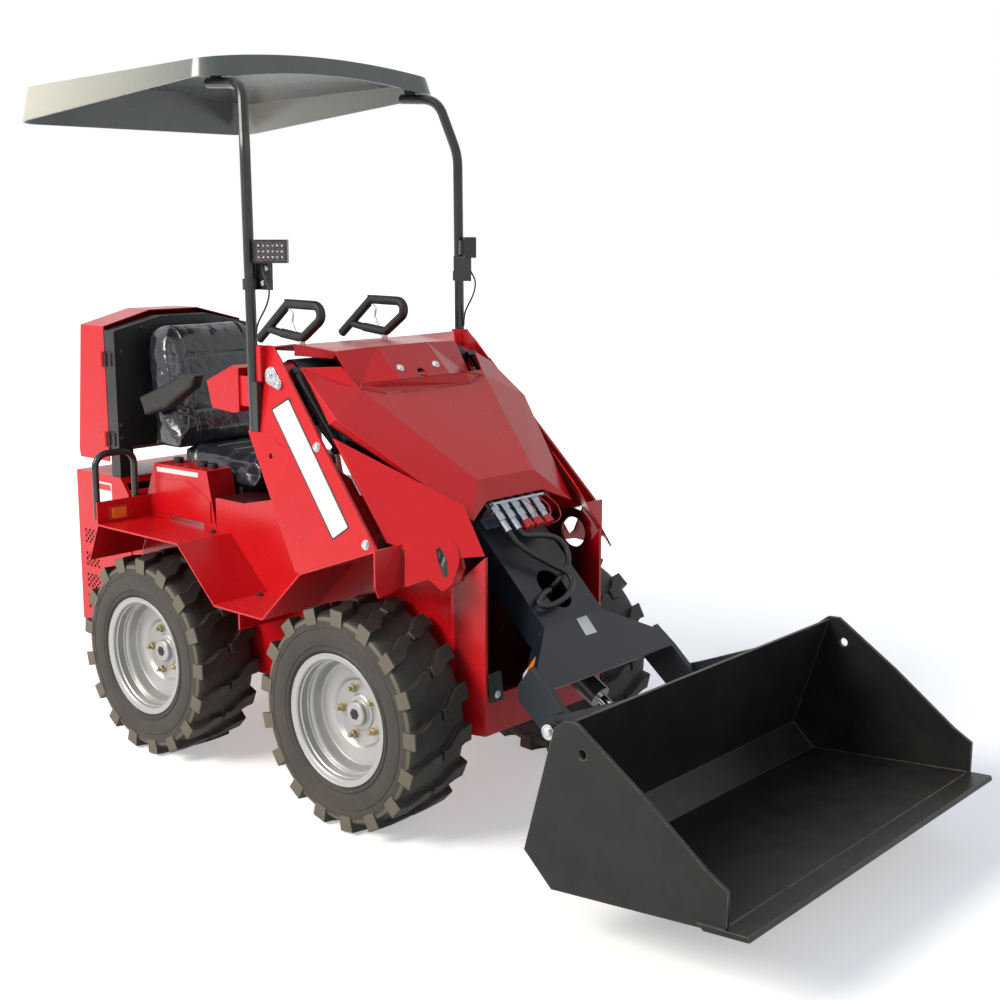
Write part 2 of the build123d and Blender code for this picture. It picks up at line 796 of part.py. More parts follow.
# Boom: box arm between the pivot tube and the flared head.
pivot = (pivot_x, pivot_z)
boom_dir = (math.cos(math.radians(boom_angle)), -math.sin(math.radians(boom_angle)))
boom_up = (-boom_dir[1], boom_dir[0])
head_dir = (math.cos(math.radians(head_angle)), -math.sin(math.radians(head_angle)))
head_up = (-head_dir[1], head_dir[0])
knee = (boom_knee_x, boom_knee_z)


def boom_point(u, v):
    """XZ point from the distance down the boom and the height across it."""
    return (
        pivot_x + boom_dir[0] * u + boom_up[0] * v,
        pivot_z + boom_dir[1] * u + boom_up[1] * v,
    )


knee_u = (boom_knee_x - pivot_x) * boom_dir[0] + (boom_knee_z - pivot_z) * boom_dir[1]
knee_v = (boom_knee_x - pivot_x) * boom_up[0] + (boom_knee_z - pivot_z) * boom_up[1]
arm_depth = 75.0
arm_outline = [
    boom_point(0, 15),
    boom_point(190, 15),
    boom_point(360, knee_v),
    knee,
    boom_point(knee_u, knee_v - arm_depth),
    boom_point(350, knee_v - arm_depth),
    boom_point(0, -40),
]
boom_plane = Plane(
    origin=(pivot_x, 0, pivot_z),
    x_dir=(boom_dir[0], 0, boom_dir[1]),
    z_dir=(boom_up[0], 0, boom_up[1]),
)
# Plan of the arm: two legs from the pivots run together into the box; (along, half width).
leg_outline = [
    (-37, boom_end_y - leg_width),
    (-37, boom_end_y),
    (leg_bend_u, boom_end_y),
    (leg_bend_u + 170, boom_half_width),
    (knee_u + 20, boom_half_width),
    (knee_u + 20, -boom_half_width),
    (leg_bend_u + 170, -boom_half_width),
    (leg_bend_u, -boom_end_y),
    (-37, -boom_end_y),
    (-37, -boom_end_y + leg_width),
    (leg_bend_u - 20, -boom_end_y + leg_width),
    (leg_bend_u + 45, -root_half_width),
    (lug_root_u, -root_half_width),
    (lug_root_u, root_half_width),
    (leg_bend_u + 45, root_half_width),
    (leg_bend_u - 20, boom_end_y - leg_width),
]
leg_plan = extrude(boom_plane.offset(-150) * make_face(Polyline(*leg_outline, close=True)), amount=300)
arm_solid = outline_y(arm_outline, -boom_end_y, boom_end_y) & leg_plan
arm_core = [
    boom_point(430, knee_v - boom_wall),
    boom_point(knee_u - 10, knee_v - boom_wall),
    boom_point(knee_u - 10, knee_v - arm_depth + boom_wall),
    boom_point(430, knee_v - arm_depth + boom_wall),
]
arm_hollow = outline_y(arm_core, -boom_half_width + boom_wall, boom_half_width - boom_wall)
hose_hole = boom_plane.offset(knee_v) * Pos(hose_hole_u, 0) * SlotOverall(hose_hole_length, hose_hole_width)
hose_hole = extrude(hose_hole, amount=20, both=True)
pivot_tube = rod_y(pivot_x, pivot_z, pivot_tube_radius, -boom_end_y, boom_end_y)
pin_bore = rod_y(pivot_x, pivot_z, pivot_pin_radius + running_gap, -inner_plate_y, inner_plate_y)

head_plane = Plane(
    origin=(knee[0], 0, knee[1]),
    x_dir=(head_dir[0], 0, head_dir[1]),
    z_dir=(head_up[0], 0, head_up[1]),
)
head_outline = [
    (-12, -boom_half_width),
    (0, -boom_half_width),
    (head_flare_length, -fork_half_width),
    (head_length, -fork_half_width),
    (head_length, fork_half_width),
    (head_flare_length, fork_half_width),
    (0, boom_half_width),
    (-12, boom_half_width),
]
head_face = head_plane * make_face(Polyline(*head_outline, close=True))
head_solid = extrude(head_face, amount=-head_depth)
head_core = [
    (-5, -boom_half_width + boom_wall),
    (head_flare_length + 4, -fork_half_width + fork_wall),
    (head_length + 5, -fork_half_width + fork_wall),
    (head_length + 5, fork_half_width - fork_wall),
    (head_flare_length + 4, fork_half_width - fork_wall),
    (-5, boom_half_width - boom_wall),
]
head_hollow = head_plane.offset(-boom_wall) * make_face(Polyline(*head_core, close=True))
head_hollow = extrude(head_hollow, amount=-head_depth)
fork_outline = [
    (862, 470),
    (920, 427),
    (988, 366),
    (996, 340),
    (985, 312),
    (960, 302),
    (925, 302),
    (824, 384),
    (826, 420),
]
fork = outline_y(fork_outline, fork_half_width - fork_wall, fork_half_width)
fork_bore = rod_y(tilt_pin_x, tilt_pin_z, tilt_pin_radius + running_gap, 200, 300)

# Cylinder seats on the boom: lugs with the pin's ends on their outer faces.
lift_top = boom_point(260, -75)
tilt_base = (640.0, 471.0)
lug_inner = eye_half_width + clevis_gap
lug_outer = lug_inner + clevis_wall


def under_v(u):
    """Height of the arm's underside at a distance down the boom."""
    low = knee_v - arm_depth
    return low if u >= 350 else -40 + (low + 40) * u / 350


def lug_pair(eye, foot_a, foot_b, reach=lug_outer):
    """Two lugs with rounded tips at an eye, spreading to two feet."""
    direction, _ = unit(foot_a, foot_b)
    outline = [foot_a, foot_b, along(eye, direction, clevis_radius), along(eye, direction, -clevis_radius)]
    lug = outline_y(outline, lug_inner, reach) + rod_y(eye[0], eye[1], clevis_radius, lug_inner, reach)
    return both(lug)


lift_lugs = lug_pair(lift_top, boom_point(200, under_v(200) + 4), boom_point(330, under_v(330) + 4))
tilt_base_u = (tilt_base[0] - pivot_x) * boom_dir[0] + (tilt_base[1] - pivot_z) * boom_dir[1]
tilt_lugs = lug_pair(
    tilt_base,
    boom_point(tilt_base_u - 75, knee_v - arm_depth + 3),
    boom_point(tilt_base_u + 12, knee_v - arm_depth + 3),
)
boom_arm = (
    arm_solid
    - arm_hollow
    - hose_hole
    + pivot_tube
    + (head_solid - head_hollow)
    + both(fork)
    - pin_bore
    - both(fork_bore)
    + lift_lugs
    + tilt_lugs
)
pins = rod_y(pivot_x, pivot_z, pivot_pin_radius, boom_end_y - leg_width, tower_y(pivot_z) + 3)
keeper_bolt = (126, 1094)
keeper_outline = []
for turn in range(100, 281, 30):
    angle = math.radians(turn - 34)
    keeper_outline.append((pivot_x + 23 * math.cos(angle), pivot_z + 23 * math.sin(angle)))
for turn in range(-80, 81, 32):
    angle = math.radians(turn - 34)
    keeper_outline.append((keeper_bolt[0] + 12 * math.cos(angle), keeper_bolt[1] + 12 * math.sin(angle)))
keeper = panel(on_tower(keeper_outline, cover_plate_wall - rod_gap), (0, 5, 0))
save(both(pins + keeper), "boom_pivot_pins")

# Faceted hood over the boom: right half as flat facets, mirrored.
hood_rear = (148, 326, 1135)
hood_shoulder = (222, 254, 1137)
hood_notch = (270, 235, 1083)
hood_brow = (290, 160, 1066)
hood_ear = (196, 343, 1108)
hood_wide = (314, 356, 1018)
hood_skirt = (292, 359, 1006)
hood_low = (559, 109, 864)
hood_end = (592, 107, 815)
hood_side = (622, 190, 780)
hood_wall = 3.0
hood_facets = [
    [hood_rear, hood_shoulder, hood_notch, hood_ear],
    [hood_ear, hood_notch, hood_wide],
    [hood_notch, hood_brow, hood_low, hood_wide],
    [hood_ear, hood_wide, hood_skirt],
    [hood_wide, hood_low, hood_side, hood_skirt],
    [hood_low, hood_end, hood_side],
]
hood_push = (-hood_wall, 0, -hood_wall)
hood = Part()
for facet_points in hood_facets:
    hood += both(panel(facet_points, hood_push))
hood += panel([hood_brow, flip(hood_brow), flip(hood_low), hood_low], hood_push)
hood += panel([hood_low, flip(hood_low), flip(hood_end), hood_end], hood_push)
hood_slope = (hood_low[2] - hood_brow[2]) / (hood_low[0] - hood_brow[0])
rib_drop = 1.5 * hood_wall
rib_rear_x = 420
hood_rib = outline_y(
    [
        (rib_rear_x, hood_brow[2] + hood_slope * (rib_rear_x - hood_brow[0]) - rib_drop),
        (540, hood_brow[2] + hood_slope * (540 - hood_brow[0]) - rib_drop),
        (540, 740),
        (rib_rear_x, 850),
    ],
    boom_half_width - 30,
    boom_half_width - 24,
)
hood_rib -= arm_solid
save(hood + both(hood_rib), "boom_hood")

# Bucket
bucket_side_outline = [
    (1162, 429),
    (1175, 474),
    (1202, 495),
    (1234, 497),
    (1397, 392),
    (1559, 275),
    (1607, 248),
    (1607, 172),
    (1556, 156),
    (1170, 114),
    (1094, 182),
]
bucket_side = outline_y(bucket_side_outline, bucket_half_width - bucket_side_wall, bucket_half_width)
bucket_hole = rod_y(1250, 434, bucket_hole_radius, bucket_half_width - 20, bucket_half_width + 5)
shell_line = [(1197, 486), (1104, 184), (1172, 123), (1600, 163)]
shell_outer = [(1205, 486), (1112, 187), (1175, 131), (1600, 172)]
bucket_shell = outline_y(
    shell_line + list(reversed(shell_outer)),
    -bucket_half_width + bucket_side_wall,
    bucket_half_width - bucket_side_wall,
)
edge = outline_y([(1556, 153), (1540, 165), (1656, 174), (1660, 163)], -edge_half_width, edge_half_width)
bucket = both(bucket_side - bucket_hole) + bucket_shell + edge
save(bucket, "bucket")

# Hitch frame between the fork and the bucket.
hitch_line = [(1191.7, 470), (1113.2, 215), (1096, 215), (1172, 470)]
hitch_plate = outline_y(hitch_line, -300, 300) - bucket_shell
ear_outline = [(1176, 470), (1096, 215), (1030, 240), (940, 312), (925, 345), (945, 375), (985, 390)]
hitch_ear = outline_y(ear_outline, fork_half_width + 6, fork_half_width + 22)
hitch_pin = rod_y(tilt_pin_x, tilt_pin_z, tilt_pin_radius, fork_half_width - fork_wall - 6, fork_half_width + 34)
tilt_eye = (985.0, 273.0)
hitch_lug_outline = [
    (1130, 290),
    (1100, 225),
    along(tilt_eye, (0, -1), clevis_radius),
    along(tilt_eye, (0, 1), clevis_radius),
]
hitch_lug = outline_y(hitch_lug_outline, lug_inner, lug_outer)
hitch_lug += rod_y(tilt_eye[0], tilt_eye[1], clevis_radius, lug_inner, lug_outer)
hitch = hitch_plate + both(hitch_ear + hitch_pin) + both(hitch_lug)
save(hitch - bucket_shell, "hitch_frame")


# Auxiliary couplers in a row on a bracket under the hood's front lip.
coupler_v = knee_v + 46
coupler_pitch = 39.5
coupler_rows = [-2, -1, 0, 1, 2]


def on_boom(u, y, v):
    """Point from the distance down the boom, the side, and the height across it."""
    x, z = boom_point(u, v)
    return (x, y, z)


def boom_block(u_low, u_high, y_low, y_high, v_low, v_high):
    """Box square to the boom."""
    middle = on_boom((u_low + u_high) / 2, (y_low + y_high) / 2, (v_low + v_high) / 2)
    return Pos(*middle) * Rot(Y=boom_angle) * Box(u_high - u_low, y_high - y_low, v_high - v_low)


def boom_rod(u_low, u_high, y, v, radius, sides=0):
    """Round or many-sided rod along the boom."""
    start = Plane(origin=on_boom(u_low, y, v), z_dir=(boom_dir[0], 0, boom_dir[1]))
    section = RegularPolygon(radius, sides) if sides else Circle(radius)
    return extrude(start * section, amount=u_high - u_low)


couplers = boom_block(578, 584, -98, 98, knee_v + rod_gap, coupler_v + 26)
couplers += boom_block(578, 612, -98, 98, knee_v + rod_gap, knee_v + 6)
caps = Part()
for row in coupler_rows:
    y = row * coupler_pitch
    couplers += boom_rod(560, 604, y, coupler_v, 13, 12)
    couplers += boom_rod(584, 594, y, coupler_v, 17, 6)
    couplers += boom_rod(604, 622, y, coupler_v, 16, 6)
    if row < 0:
        couplers += boom_rod(622, 655, y, coupler_v, 10.5, 10)
    else:
        couplers += boom_rod(622, 636, y, coupler_v, 12, 12)
        caps += boom_rod(636.3, 658, y, coupler_v, 15, 12)
save(couplers, "couplers")
save(caps, "coupler_caps")

# Hoses from the two near couplers into the arm's oval hole.
hose_radius = 7.5
cord_sides = 8
hose_routes = [
    [
        (655.3, -2 * coupler_pitch, coupler_v),
        (674, -2 * coupler_pitch, coupler_v),
        (698, -61, 106),
        (720, -39, 101),
        (741, -14, 98),
        (770, 18, 95),
        (800, 50, 98),
        (830, 41, 97),
        (857, 2, 92),
        (867, -50, 88),
        (868, -92, 85),
        (846, -104, 85),
        (828, -61, 84),
        (820, -24, 78),
        (817, -4, 46),
    ],
    [
        (655.3, -coupler_pitch, coupler_v),
        (674, -coupler_pitch, coupler_v),
        (682, -16, 119),
        (689, 13, 122),
        (700, 44, 124),
        (716, 65, 122),
        (737, 74, 118),
        (761, 70, 112),
        (780, 66, 92),
        (790, 52, 80),
        (798, 34, 78),
        (803, 22, 46),
    ],
]


def cord_radii(points):
    """Arc at each corner: as large as its two runs allow."""
    corners = [Vector(*point) for point in points]
    radii = []
    for before, here, after in zip(corners, corners[1:], corners[2:]):
        turn = math.radians((here - before).get_angle(after - here))
        run = min((here - before).length, (after - here).length)
        radii.append(0.45 * run / math.tan(turn / 2))
    return radii


def cord(points, radius, name):
    """Round cord along its route; prints its tightest arc."""
    radii = cord_radii(points)
    path = FilletPolyline(*points, radius=radii)
    section = RegularPolygon(radius, cord_sides)
    made = sweep(Plane(origin=path @ 0, z_dir=path % 0) * section, path=path)
    share = made.volume / (section.area * path.length)
    print(name, "length", round(path.length), "arcs", [round(arc) for arc in radii], "share", round(share, 4))
    return made


boom_hoses = Part()
for route in hose_routes:
    boom_hoses += cord([on_boom(*point) for point in route], hose_radius, "boom hose")
save(boom_hoses, "boom_hoses")

# Lamp cables from the lamps down to the fronts of the posts.
cable_radius = 2.5
cable_x = post_x - 2 + post_radius + cable_radius + rod_gap
cable_route = [
    (70.1, 379, lamp_bottom_z - rod_gap),
    (70.1, 379, lamp_bottom_z - 18),
    (88, 381, lamp_bottom_z - 44),
    (102, 383, lamp_bottom_z - 67),
    (98, 384, lamp_bottom_z - 92),
    (84, 386, lamp_bottom_z - 118),
    (62, post_y, lamp_bottom_z - 145),
    (cable_x + 1, post_y, lamp_bottom_z - 171),
    (cable_x + 0.4, post_y, tower_top_z + 9),
]
save(both(cord(cable_route, cable_radius, "lamp cable")), "lamp_cables")

# Ribbed sleeves with hoses along the legs' outer top edges, held by clamps.
sleeve_radius = 13.0
sleeve_y = boom_end_y + 19
sleeve_route = [(252, 17), (190, 24), (130, 28), (80, 32), (34, 36)]
sleeve = cord([on_boom(u, sleeve_y, v) for u, v in sleeve_route], sleeve_radius, "sleeve")
save(both(sleeve), "boom_sleeves")
sleeve_clamps = boom_block(254, 270, boom_end_y - 30, sleeve_y + 14, 2, 32)
sleeve_clamps += boom_block(17, 33.7, boom_end_y - 6, boom_end_y + 1, 12, 46)
sleeve_clamps += boom_block(17, 33.7, boom_end_y - 6, sleeve_y + 14, 34, 46)
sleeve_clamps += boom_block(150, 168, boom_end_y - 6, sleeve_y + 12, -6, 24.6 - sleeve_radius - rod_gap)
save(boom_arm + both(sleeve_clamps), "boom_arm")


def cylinder_pair(base, eye, barrel_radius, rod_radius, barrel_length, retraction):
    """Barrel from its base eye, and rod to its own eye, in place."""
    direction, span = unit(base, eye)
    angle = math.degrees(math.atan2(direction[1], direction[0]))
    place = Pos(base[0], 0, base[1]) * Rot(Y=-angle)
    barrel_start = eye_radius + 16
    barrel = place * Pos(barrel_length / 2 + barrel_start, 0, 0) * Rot(Y=90)
    barrel = barrel * Cylinder(barrel_radius, barrel_length)
    barrel += rod_y(base[0], base[1], eye_radius, -eye_half_width, eye_half_width)
    neck = place * Pos(eye_radius + 2, 0, 0) * Box(34, eye_half_width * 2, eye_half_width * 2)
    barrel += neck
    barrel -= place * Pos(barrel_length / 2 + barrel_start + 30, 0, 0) * Rot(Y=90) * Cylinder(
        rod_radius + rod_gap, barrel_length
    )
    rod_start = barrel_start + 30 + retraction + 5
    rod = place * Pos((rod_start + span) / 2, 0, 0) * Rot(Y=90) * Cylinder(rod_radius, span - rod_start)
    rod += rod_y(eye[0], eye[1], eye_radius, -eye_half_width, eye_half_width)
    return barrel, rod


lift_base = (53.0, 424.0)
lift_barrel, lift_rod = cylinder_pair(lift_base, lift_top, lift_barrel_radius, lift_rod_radius, 374, 18)
save(lift_barrel, "lift_cylinder_barrel")
save(lift_rod, "lift_cylinder_rod")
tilt_barrel, tilt_rod = cylinder_pair(tilt_base, tilt_eye, tilt_barrel_radius, tilt_rod_radius, 230, 51)
save(tilt_barrel, "tilt_cylinder_barrel")
save(tilt_rod, "tilt_cylinder_rod")
lift_stand = both(
    outline_y(
        [
            (lift_base[0] - 60, chassis_bottom + 38.3),
            (lift_base[0] + 60, chassis_bottom + 38.3),
            along(lift_base, (1, 0), clevis_radius),
            along(lift_base, (-1, 0), clevis_radius),
        ],
        lug_inner,
        lug_outer,
    )
    + rod_y(lift_base[0], lift_base[1], clevis_radius, lug_inner, lug_outer)
)
save(lift_stand, "lift_cylinder_stand")
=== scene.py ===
import bpy
import bmesh
import math
from mathutils import Matrix, Vector


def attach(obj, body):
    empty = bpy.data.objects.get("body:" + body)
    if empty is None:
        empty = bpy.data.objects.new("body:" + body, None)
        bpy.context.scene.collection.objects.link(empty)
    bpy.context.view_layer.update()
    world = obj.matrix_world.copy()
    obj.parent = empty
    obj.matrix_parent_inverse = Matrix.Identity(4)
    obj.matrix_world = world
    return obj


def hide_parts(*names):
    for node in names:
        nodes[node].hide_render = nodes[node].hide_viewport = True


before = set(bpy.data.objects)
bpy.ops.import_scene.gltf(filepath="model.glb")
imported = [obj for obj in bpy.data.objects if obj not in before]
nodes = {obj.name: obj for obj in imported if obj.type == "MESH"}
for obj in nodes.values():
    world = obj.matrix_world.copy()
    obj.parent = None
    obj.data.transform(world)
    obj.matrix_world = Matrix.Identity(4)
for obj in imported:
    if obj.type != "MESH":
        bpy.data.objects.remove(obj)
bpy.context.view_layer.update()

# Camera: a hand-held view of the right front corner from about head height, a few metres away. The
# focal length is in pixels of the square picture.
picture_size = 1000.0
focal_length = 1454.6
sensor_width = 36.0
look_azimuth = math.radians(131.76)
look_down = math.radians(-10.89)


def new_object(name, data):
    """Object at the origin, put in the scene."""
    thing = bpy.data.objects.new(name, data)
    bpy.context.scene.collection.objects.link(thing)
    return thing


camera_data = bpy.data.cameras.new("camera")
camera_data.sensor_width = sensor_width
camera_data.lens = sensor_width * focal_length / picture_size
camera = new_object("camera", camera_data)
camera.location = (2.9997, -2.7562, 1.5051)
look = Vector((
    math.cos(look_azimuth) * math.cos(look_down),
    math.sin(look_azimuth) * math.cos(look_down),
    math.sin(look_down),
))
camera.rotation_euler = look.to_track_quat("-Z", "Y").to_euler()
bpy.context.scene.camera = camera

# Cord lines: two black hydraulic hoses on the boom, a thin lead under each work lamp, a ribbed sleeve
# over the lines on each leg of the boom, and the thin tethers of the three red coupler caps.
both_sides = ((-1, "right"), (1, "left"))
pivot_x = 0.092
pivot_z = 1.115
boom_angle = math.radians(44.6)
boom_way = Vector((math.cos(boom_angle), 0, -math.sin(boom_angle)))
boom_up = Vector((math.sin(boom_angle), 0, math.cos(boom_angle)))
arm_top_v = 0.0686
coupler_v = arm_top_v + 0.046
coupler_pitch = 0.0395
hose_radius = 0.0075
lead_radius = 0.0025
sleeve_radius = 0.013
tether_radius = 0.0013


def on_boom(u, y, v):
    """Place from the distance down the boom, the side, and the height across it, in metres."""
    place = Vector((pivot_x, 0, pivot_z)) + boom_way * u + boom_up * v
    return (place.x, y, place.z)


def laid_line(name, route, radius):
    """Cord centreline: a smooth open spline with the route's points as its control points."""
    data = bpy.data.curves.new(name, "CURVE")
    data.dimensions = "3D"
    spline = data.splines.new("NURBS")
    spline.points.add(len(route) - 1)
    for point, place in zip(spline.points, route):
        point.co = (*place, 1)
        point.radius = radius
    spline.order_u = 3
    spline.use_endpoint_u = True
    data.resolution_u = 10
    return new_object(name, data)


def mesh_of(source):
    """Plain mesh of an object as its modifiers leave it."""
    view = bpy.context.evaluated_depsgraph_get()
    return bpy.data.meshes.new_from_object(
        source.evaluated_get(view), preserve_all_data_layers=True, depsgraph=view
    )


def line_points(line):
    """Points along a laid line, read from its spline."""
    return [vertex.co.copy() for vertex in mesh_of(line).vertices]


def path_length(points):
    return sum((b - a).length for a, b in zip(points, points[1:]))


def round_cord(name, route, radius, rounds, body, slot, stands_for, **manner):
    """Cord of round section along a route, drawn by the curve's own bevel, one unit times its radius."""
    cord = laid_line(name, route, radius)
    length = path_length(line_points(cord))
    cord.data.bevel_depth = 1.0
    cord.data.bevel_resolution = rounds
    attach(cord, body)
    if stands_for:
        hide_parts(stands_for)
    return cord


hose_routes = [
    [
        (0.6553, -2 * coupler_pitch, coupler_v), (0.674, -2 * coupler_pitch, coupler_v),
        (0.698, -0.061, 0.106), (0.720, -0.039, 0.101), (0.741, -0.014, 0.098), (0.770, 0.018, 0.095),
        (0.800, 0.050, 0.098), (0.830, 0.041, 0.097), (0.857, 0.002, 0.092), (0.867, -0.050, 0.088),
        (0.868, -0.092, 0.085), (0.846, -0.104, 0.085), (0.828, -0.061, 0.084), (0.820, -0.024, 0.078),
        (0.817, -0.004, 0.046),
    ],
    [
        (0.6553, -coupler_pitch, coupler_v), (0.674, -coupler_pitch, coupler_v), (0.682, -0.016, 0.119),
        (0.689, 0.013, 0.122), (0.700, 0.044, 0.124), (0.716, 0.065, 0.122), (0.737, 0.074, 0.118),
        (0.761, 0.070, 0.112), (0.780, 0.066, 0.092), (0.790, 0.052, 0.080), (0.798, 0.034, 0.078),
        (0.803, 0.022, 0.046),
    ],
]
hoses = [
    round_cord(
        "boom_hose_%d" % index, [on_boom(*point) for point in route], hose_radius, 5, "boom", "hose_rubber",
        "boom_hoses", stiffness="stiff", lay="loose",
    )
    for index, route in enumerate(hose_routes)
]
lamp_bottom_z = 1.399
lead_gap = 0.0003
post_x = 0.032
post_radius = 0.014
lead_x = post_x + post_radius + lead_radius + lead_gap
lead_route = [
    (0.0701, 0.379, lamp_bottom_z - lead_gap),
    (0.0701, 0.379, lamp_bottom_z - 0.018),
    (0.088, 0.381, lamp_bottom_z - 0.044),
    (0.102, 0.383, lamp_bottom_z - 0.067),
    (0.098, 0.384, lamp_bottom_z - 0.092),
    (0.084, 0.386, lamp_bottom_z - 0.118),
    (0.062, 0.388, lamp_bottom_z - 0.145),
    (lead_x + 0.001, 0.388, lamp_bottom_z - 0.171),
    (lead_x + 0.0004, 0.388, 1.199),
]
leads = [
    round_cord(
        "lamp_lead_" + side_name, [(x, y * side, z) for x, y, z in lead_route], lead_radius, 3, "chassis",
        "hose_rubber", "lamp_cables", stiffness="limp", lay="hanging",
    )
    for side, side_name in both_sides
]


def named_tree(name, sizes):
    """Geometry tree with a mesh or curve in, and one named input for each size and for the finish."""
    tree = bpy.data.node_groups.new(name, "GeometryNodeTree")
    tree.interface.new_socket("Geometry", in_out="INPUT", socket_type="NodeSocketGeometry")
    for size, kind in sizes + [("Finish", "Material")]:
        tree.interface.new_socket(size, in_out="INPUT", socket_type="NodeSocket" + kind)
    tree.interface.new_socket("Geometry", in_out="OUTPUT", socket_type="NodeSocketGeometry")
    return tree, tree.nodes.new("NodeGroupInput").outputs


def tree_step(tree, kind, links=(), **settings):
    """One node; each input is joined to a socket or a node's first output, or set to a value."""
    step = tree.nodes.new(kind)
    for key, value in settings.items():
        setattr(step, key, value)
    for socket, value in links:
        if isinstance(value, bpy.types.Node):
            value = value.outputs[0]
        if isinstance(value, bpy.types.NodeSocket):
            tree.links.new(value, step.inputs[socket])
        else:
            step.inputs[socket].default_value = value
    return step


def math_step(tree, operation, *values):
    """Arithmetic on sockets and numbers."""
    return tree_step(tree, "ShaderNodeMath", enumerate(values), operation=operation)


def tree_end(tree, sizes, geometry):
    """Close a tree: real geometry in place of instances, with the finish on it."""
    real = tree_step(tree, "GeometryNodeRealizeInstances", [(0, geometry)])
    finish = tree_step(tree, "GeometryNodeSetMaterial", [("Geometry", real), ("Material", sizes["Finish"])])
    tree_step(tree, "NodeGroupOutput", [(0, finish)])


def swept(tree, curve, radius, sides):
    """Capped round tube along a curve."""
    thick = tree_step(tree, "GeometryNodeSetCurveRadius", [("Curve", curve), ("Radius", radius)])
    circle = tree_step(tree, "GeometryNodeCurvePrimitiveCircle", [("Resolution", sides), ("Radius", 1.0)])
    links = [("Curve", thick), ("Profile Curve", circle), ("Fill Caps", True)]
    links.append(("Scale", tree_step(tree, "GeometryNodeInputRadius")))
    return tree_step(tree, "GeometryNodeCurveToMesh", links)


def grown_mesh(source, tree, sizes):
    """Plain mesh that a tree makes from an object; the object and its modifier go."""
    pattern = source.modifiers.new("pattern", "NODES")
    pattern.node_group = tree
    for item in tree.interface.items_tree:
        if item.in_out == "INPUT" and item.name in sizes:
            pattern[item.identifier] = sizes[item.name]
    source.update_tag()
    mesh = mesh_of(source)
    bpy.data.objects.remove(source)
    return mesh


def finished(pieces, material):
    """Give pieces one material in place of what they hold."""
    for piece in pieces:
        piece.data.materials.clear()
        piece.data.materials.append(material)


def placed(name, mesh, body, finish=None):
    """Finished piece at the origin, riding on its body."""
    mesh.name = name
    piece = new_object(name, mesh)
    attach(piece, body)
    if finish:
        finished([piece], finish)
    return piece


rib_tree, rib_in = named_tree(
    "ribbed_sleeve", [("Radius", "Float"), ("Rib Height", "Float"), ("Rib Pitch", "Float")]
)
rib_step = math_step(rib_tree, "DIVIDE", rib_in["Rib Pitch"], 4.0)
rib_line = tree_step(
    rib_tree, "GeometryNodeResampleCurve", [("Curve", rib_in["Geometry"]), ("Length", rib_step)],
    mode="LENGTH",
)
rib_index = tree_step(rib_tree, "GeometryNodeInputIndex")
rib_wave = math_step(rib_tree, "SINE", math_step(rib_tree, "MULTIPLY", rib_index, math.pi / 2))
rib_rise = math_step(rib_tree, "MULTIPLY", rib_wave, rib_in["Rib Height"])
rib_width = math_step(rib_tree, "ADD", rib_in["Radius"], rib_rise)
tree_end(rib_tree, rib_in, swept(rib_tree, rib_line, rib_width, 20))
rib_height = 0.0012
rib_pitch = 0.0068
leg_face_y = 0.312
sleeve_y = leg_face_y + 0.019
sleeve_route = [(0.252, 0.017), (0.190, 0.024), (0.130, 0.028), (0.080, 0.032), (0.034, 0.036)]
sleeves = []
for side, side_name in both_sides:
    line = laid_line("sleeve_line", [on_boom(u, side * sleeve_y, v) for u, v in sleeve_route], sleeve_radius)
    sleeve_path = line_points(line)
    sleeve_sizes = {"Radius": sleeve_radius - rib_height, "Rib Height": rib_height, "Rib Pitch": rib_pitch}
    sleeve = placed(
        "ribbed_sleeve_" + side_name, grown_mesh(line, rib_tree, sleeve_sizes), "boom"
    )
    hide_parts("boom_sleeves")
    sleeves.append(sleeve)
tether_routes = [
    [
        (0.662, 0.000, 0.121), (0.655, 0.006, 0.138), (0.630, 0.012, 0.152), (0.602, 0.010, 0.152),
        (0.584, 0.004, 0.143),
    ],
    [
        (0.662, 0.040, 0.121), (0.658, 0.058, 0.136), (0.640, 0.072, 0.150), (0.608, 0.070, 0.152),
        (0.584, 0.058, 0.143),
    ],
    [
        (0.662, 0.079, 0.121), (0.664, 0.098, 0.128), (0.650, 0.116, 0.136), (0.615, 0.116, 0.144),
        (0.584, 0.092, 0.143),
    ],
]
tethers = [
    round_cord(
        "cap_tether_%d" % index, [on_boom(*point) for point in route], tether_radius, 2, "boom",
        "red_plastic", None, stiffness="medium", lay="loose",
    )
    for index, route in enumerate(tether_routes)
]


def ramp_step(tree, value, low, high, first=0.0, last=1.0, **settings):
    """Value carried from the range low to high over to the range first to last."""
    ends = [(0, value), (1, low), (2, high), (3, first), (4, last)]
    return tree_step(tree, "ShaderNodeMapRange", ends, **settings)


def colour_mix(tree, share, under, over):
    """Colour between two, each a socket or its red, green and blue."""
    ends = [(*part, 1) if isinstance(part, (tuple, list)) else part for part in (under, over)]
    mix = tree_step(tree, "ShaderNodeMix", [(0, share), (6, ends[0]), (7, ends[1])], data_type="RGBA")
    return mix.outputs[2]


def noise_step(tree, scale, detail, roughness=0.5):
    """Noise on the piece's own coordinates."""
    place = tree_step(tree, "ShaderNodeTexCoord").outputs["Object"]
    sizes = [("Vector", place), ("Scale", scale), ("Detail", detail), ("Roughness", roughness)]
    return tree_step(tree, "ShaderNodeTexNoise", sizes)


def own_axes(tree):
    """The piece's own coordinates, split in X, Y and Z."""
    place = tree_step(tree, "ShaderNodeTexCoord").outputs["Object"]
    return tree_step(tree, "ShaderNodeSeparateXYZ", [(0, place)]).outputs


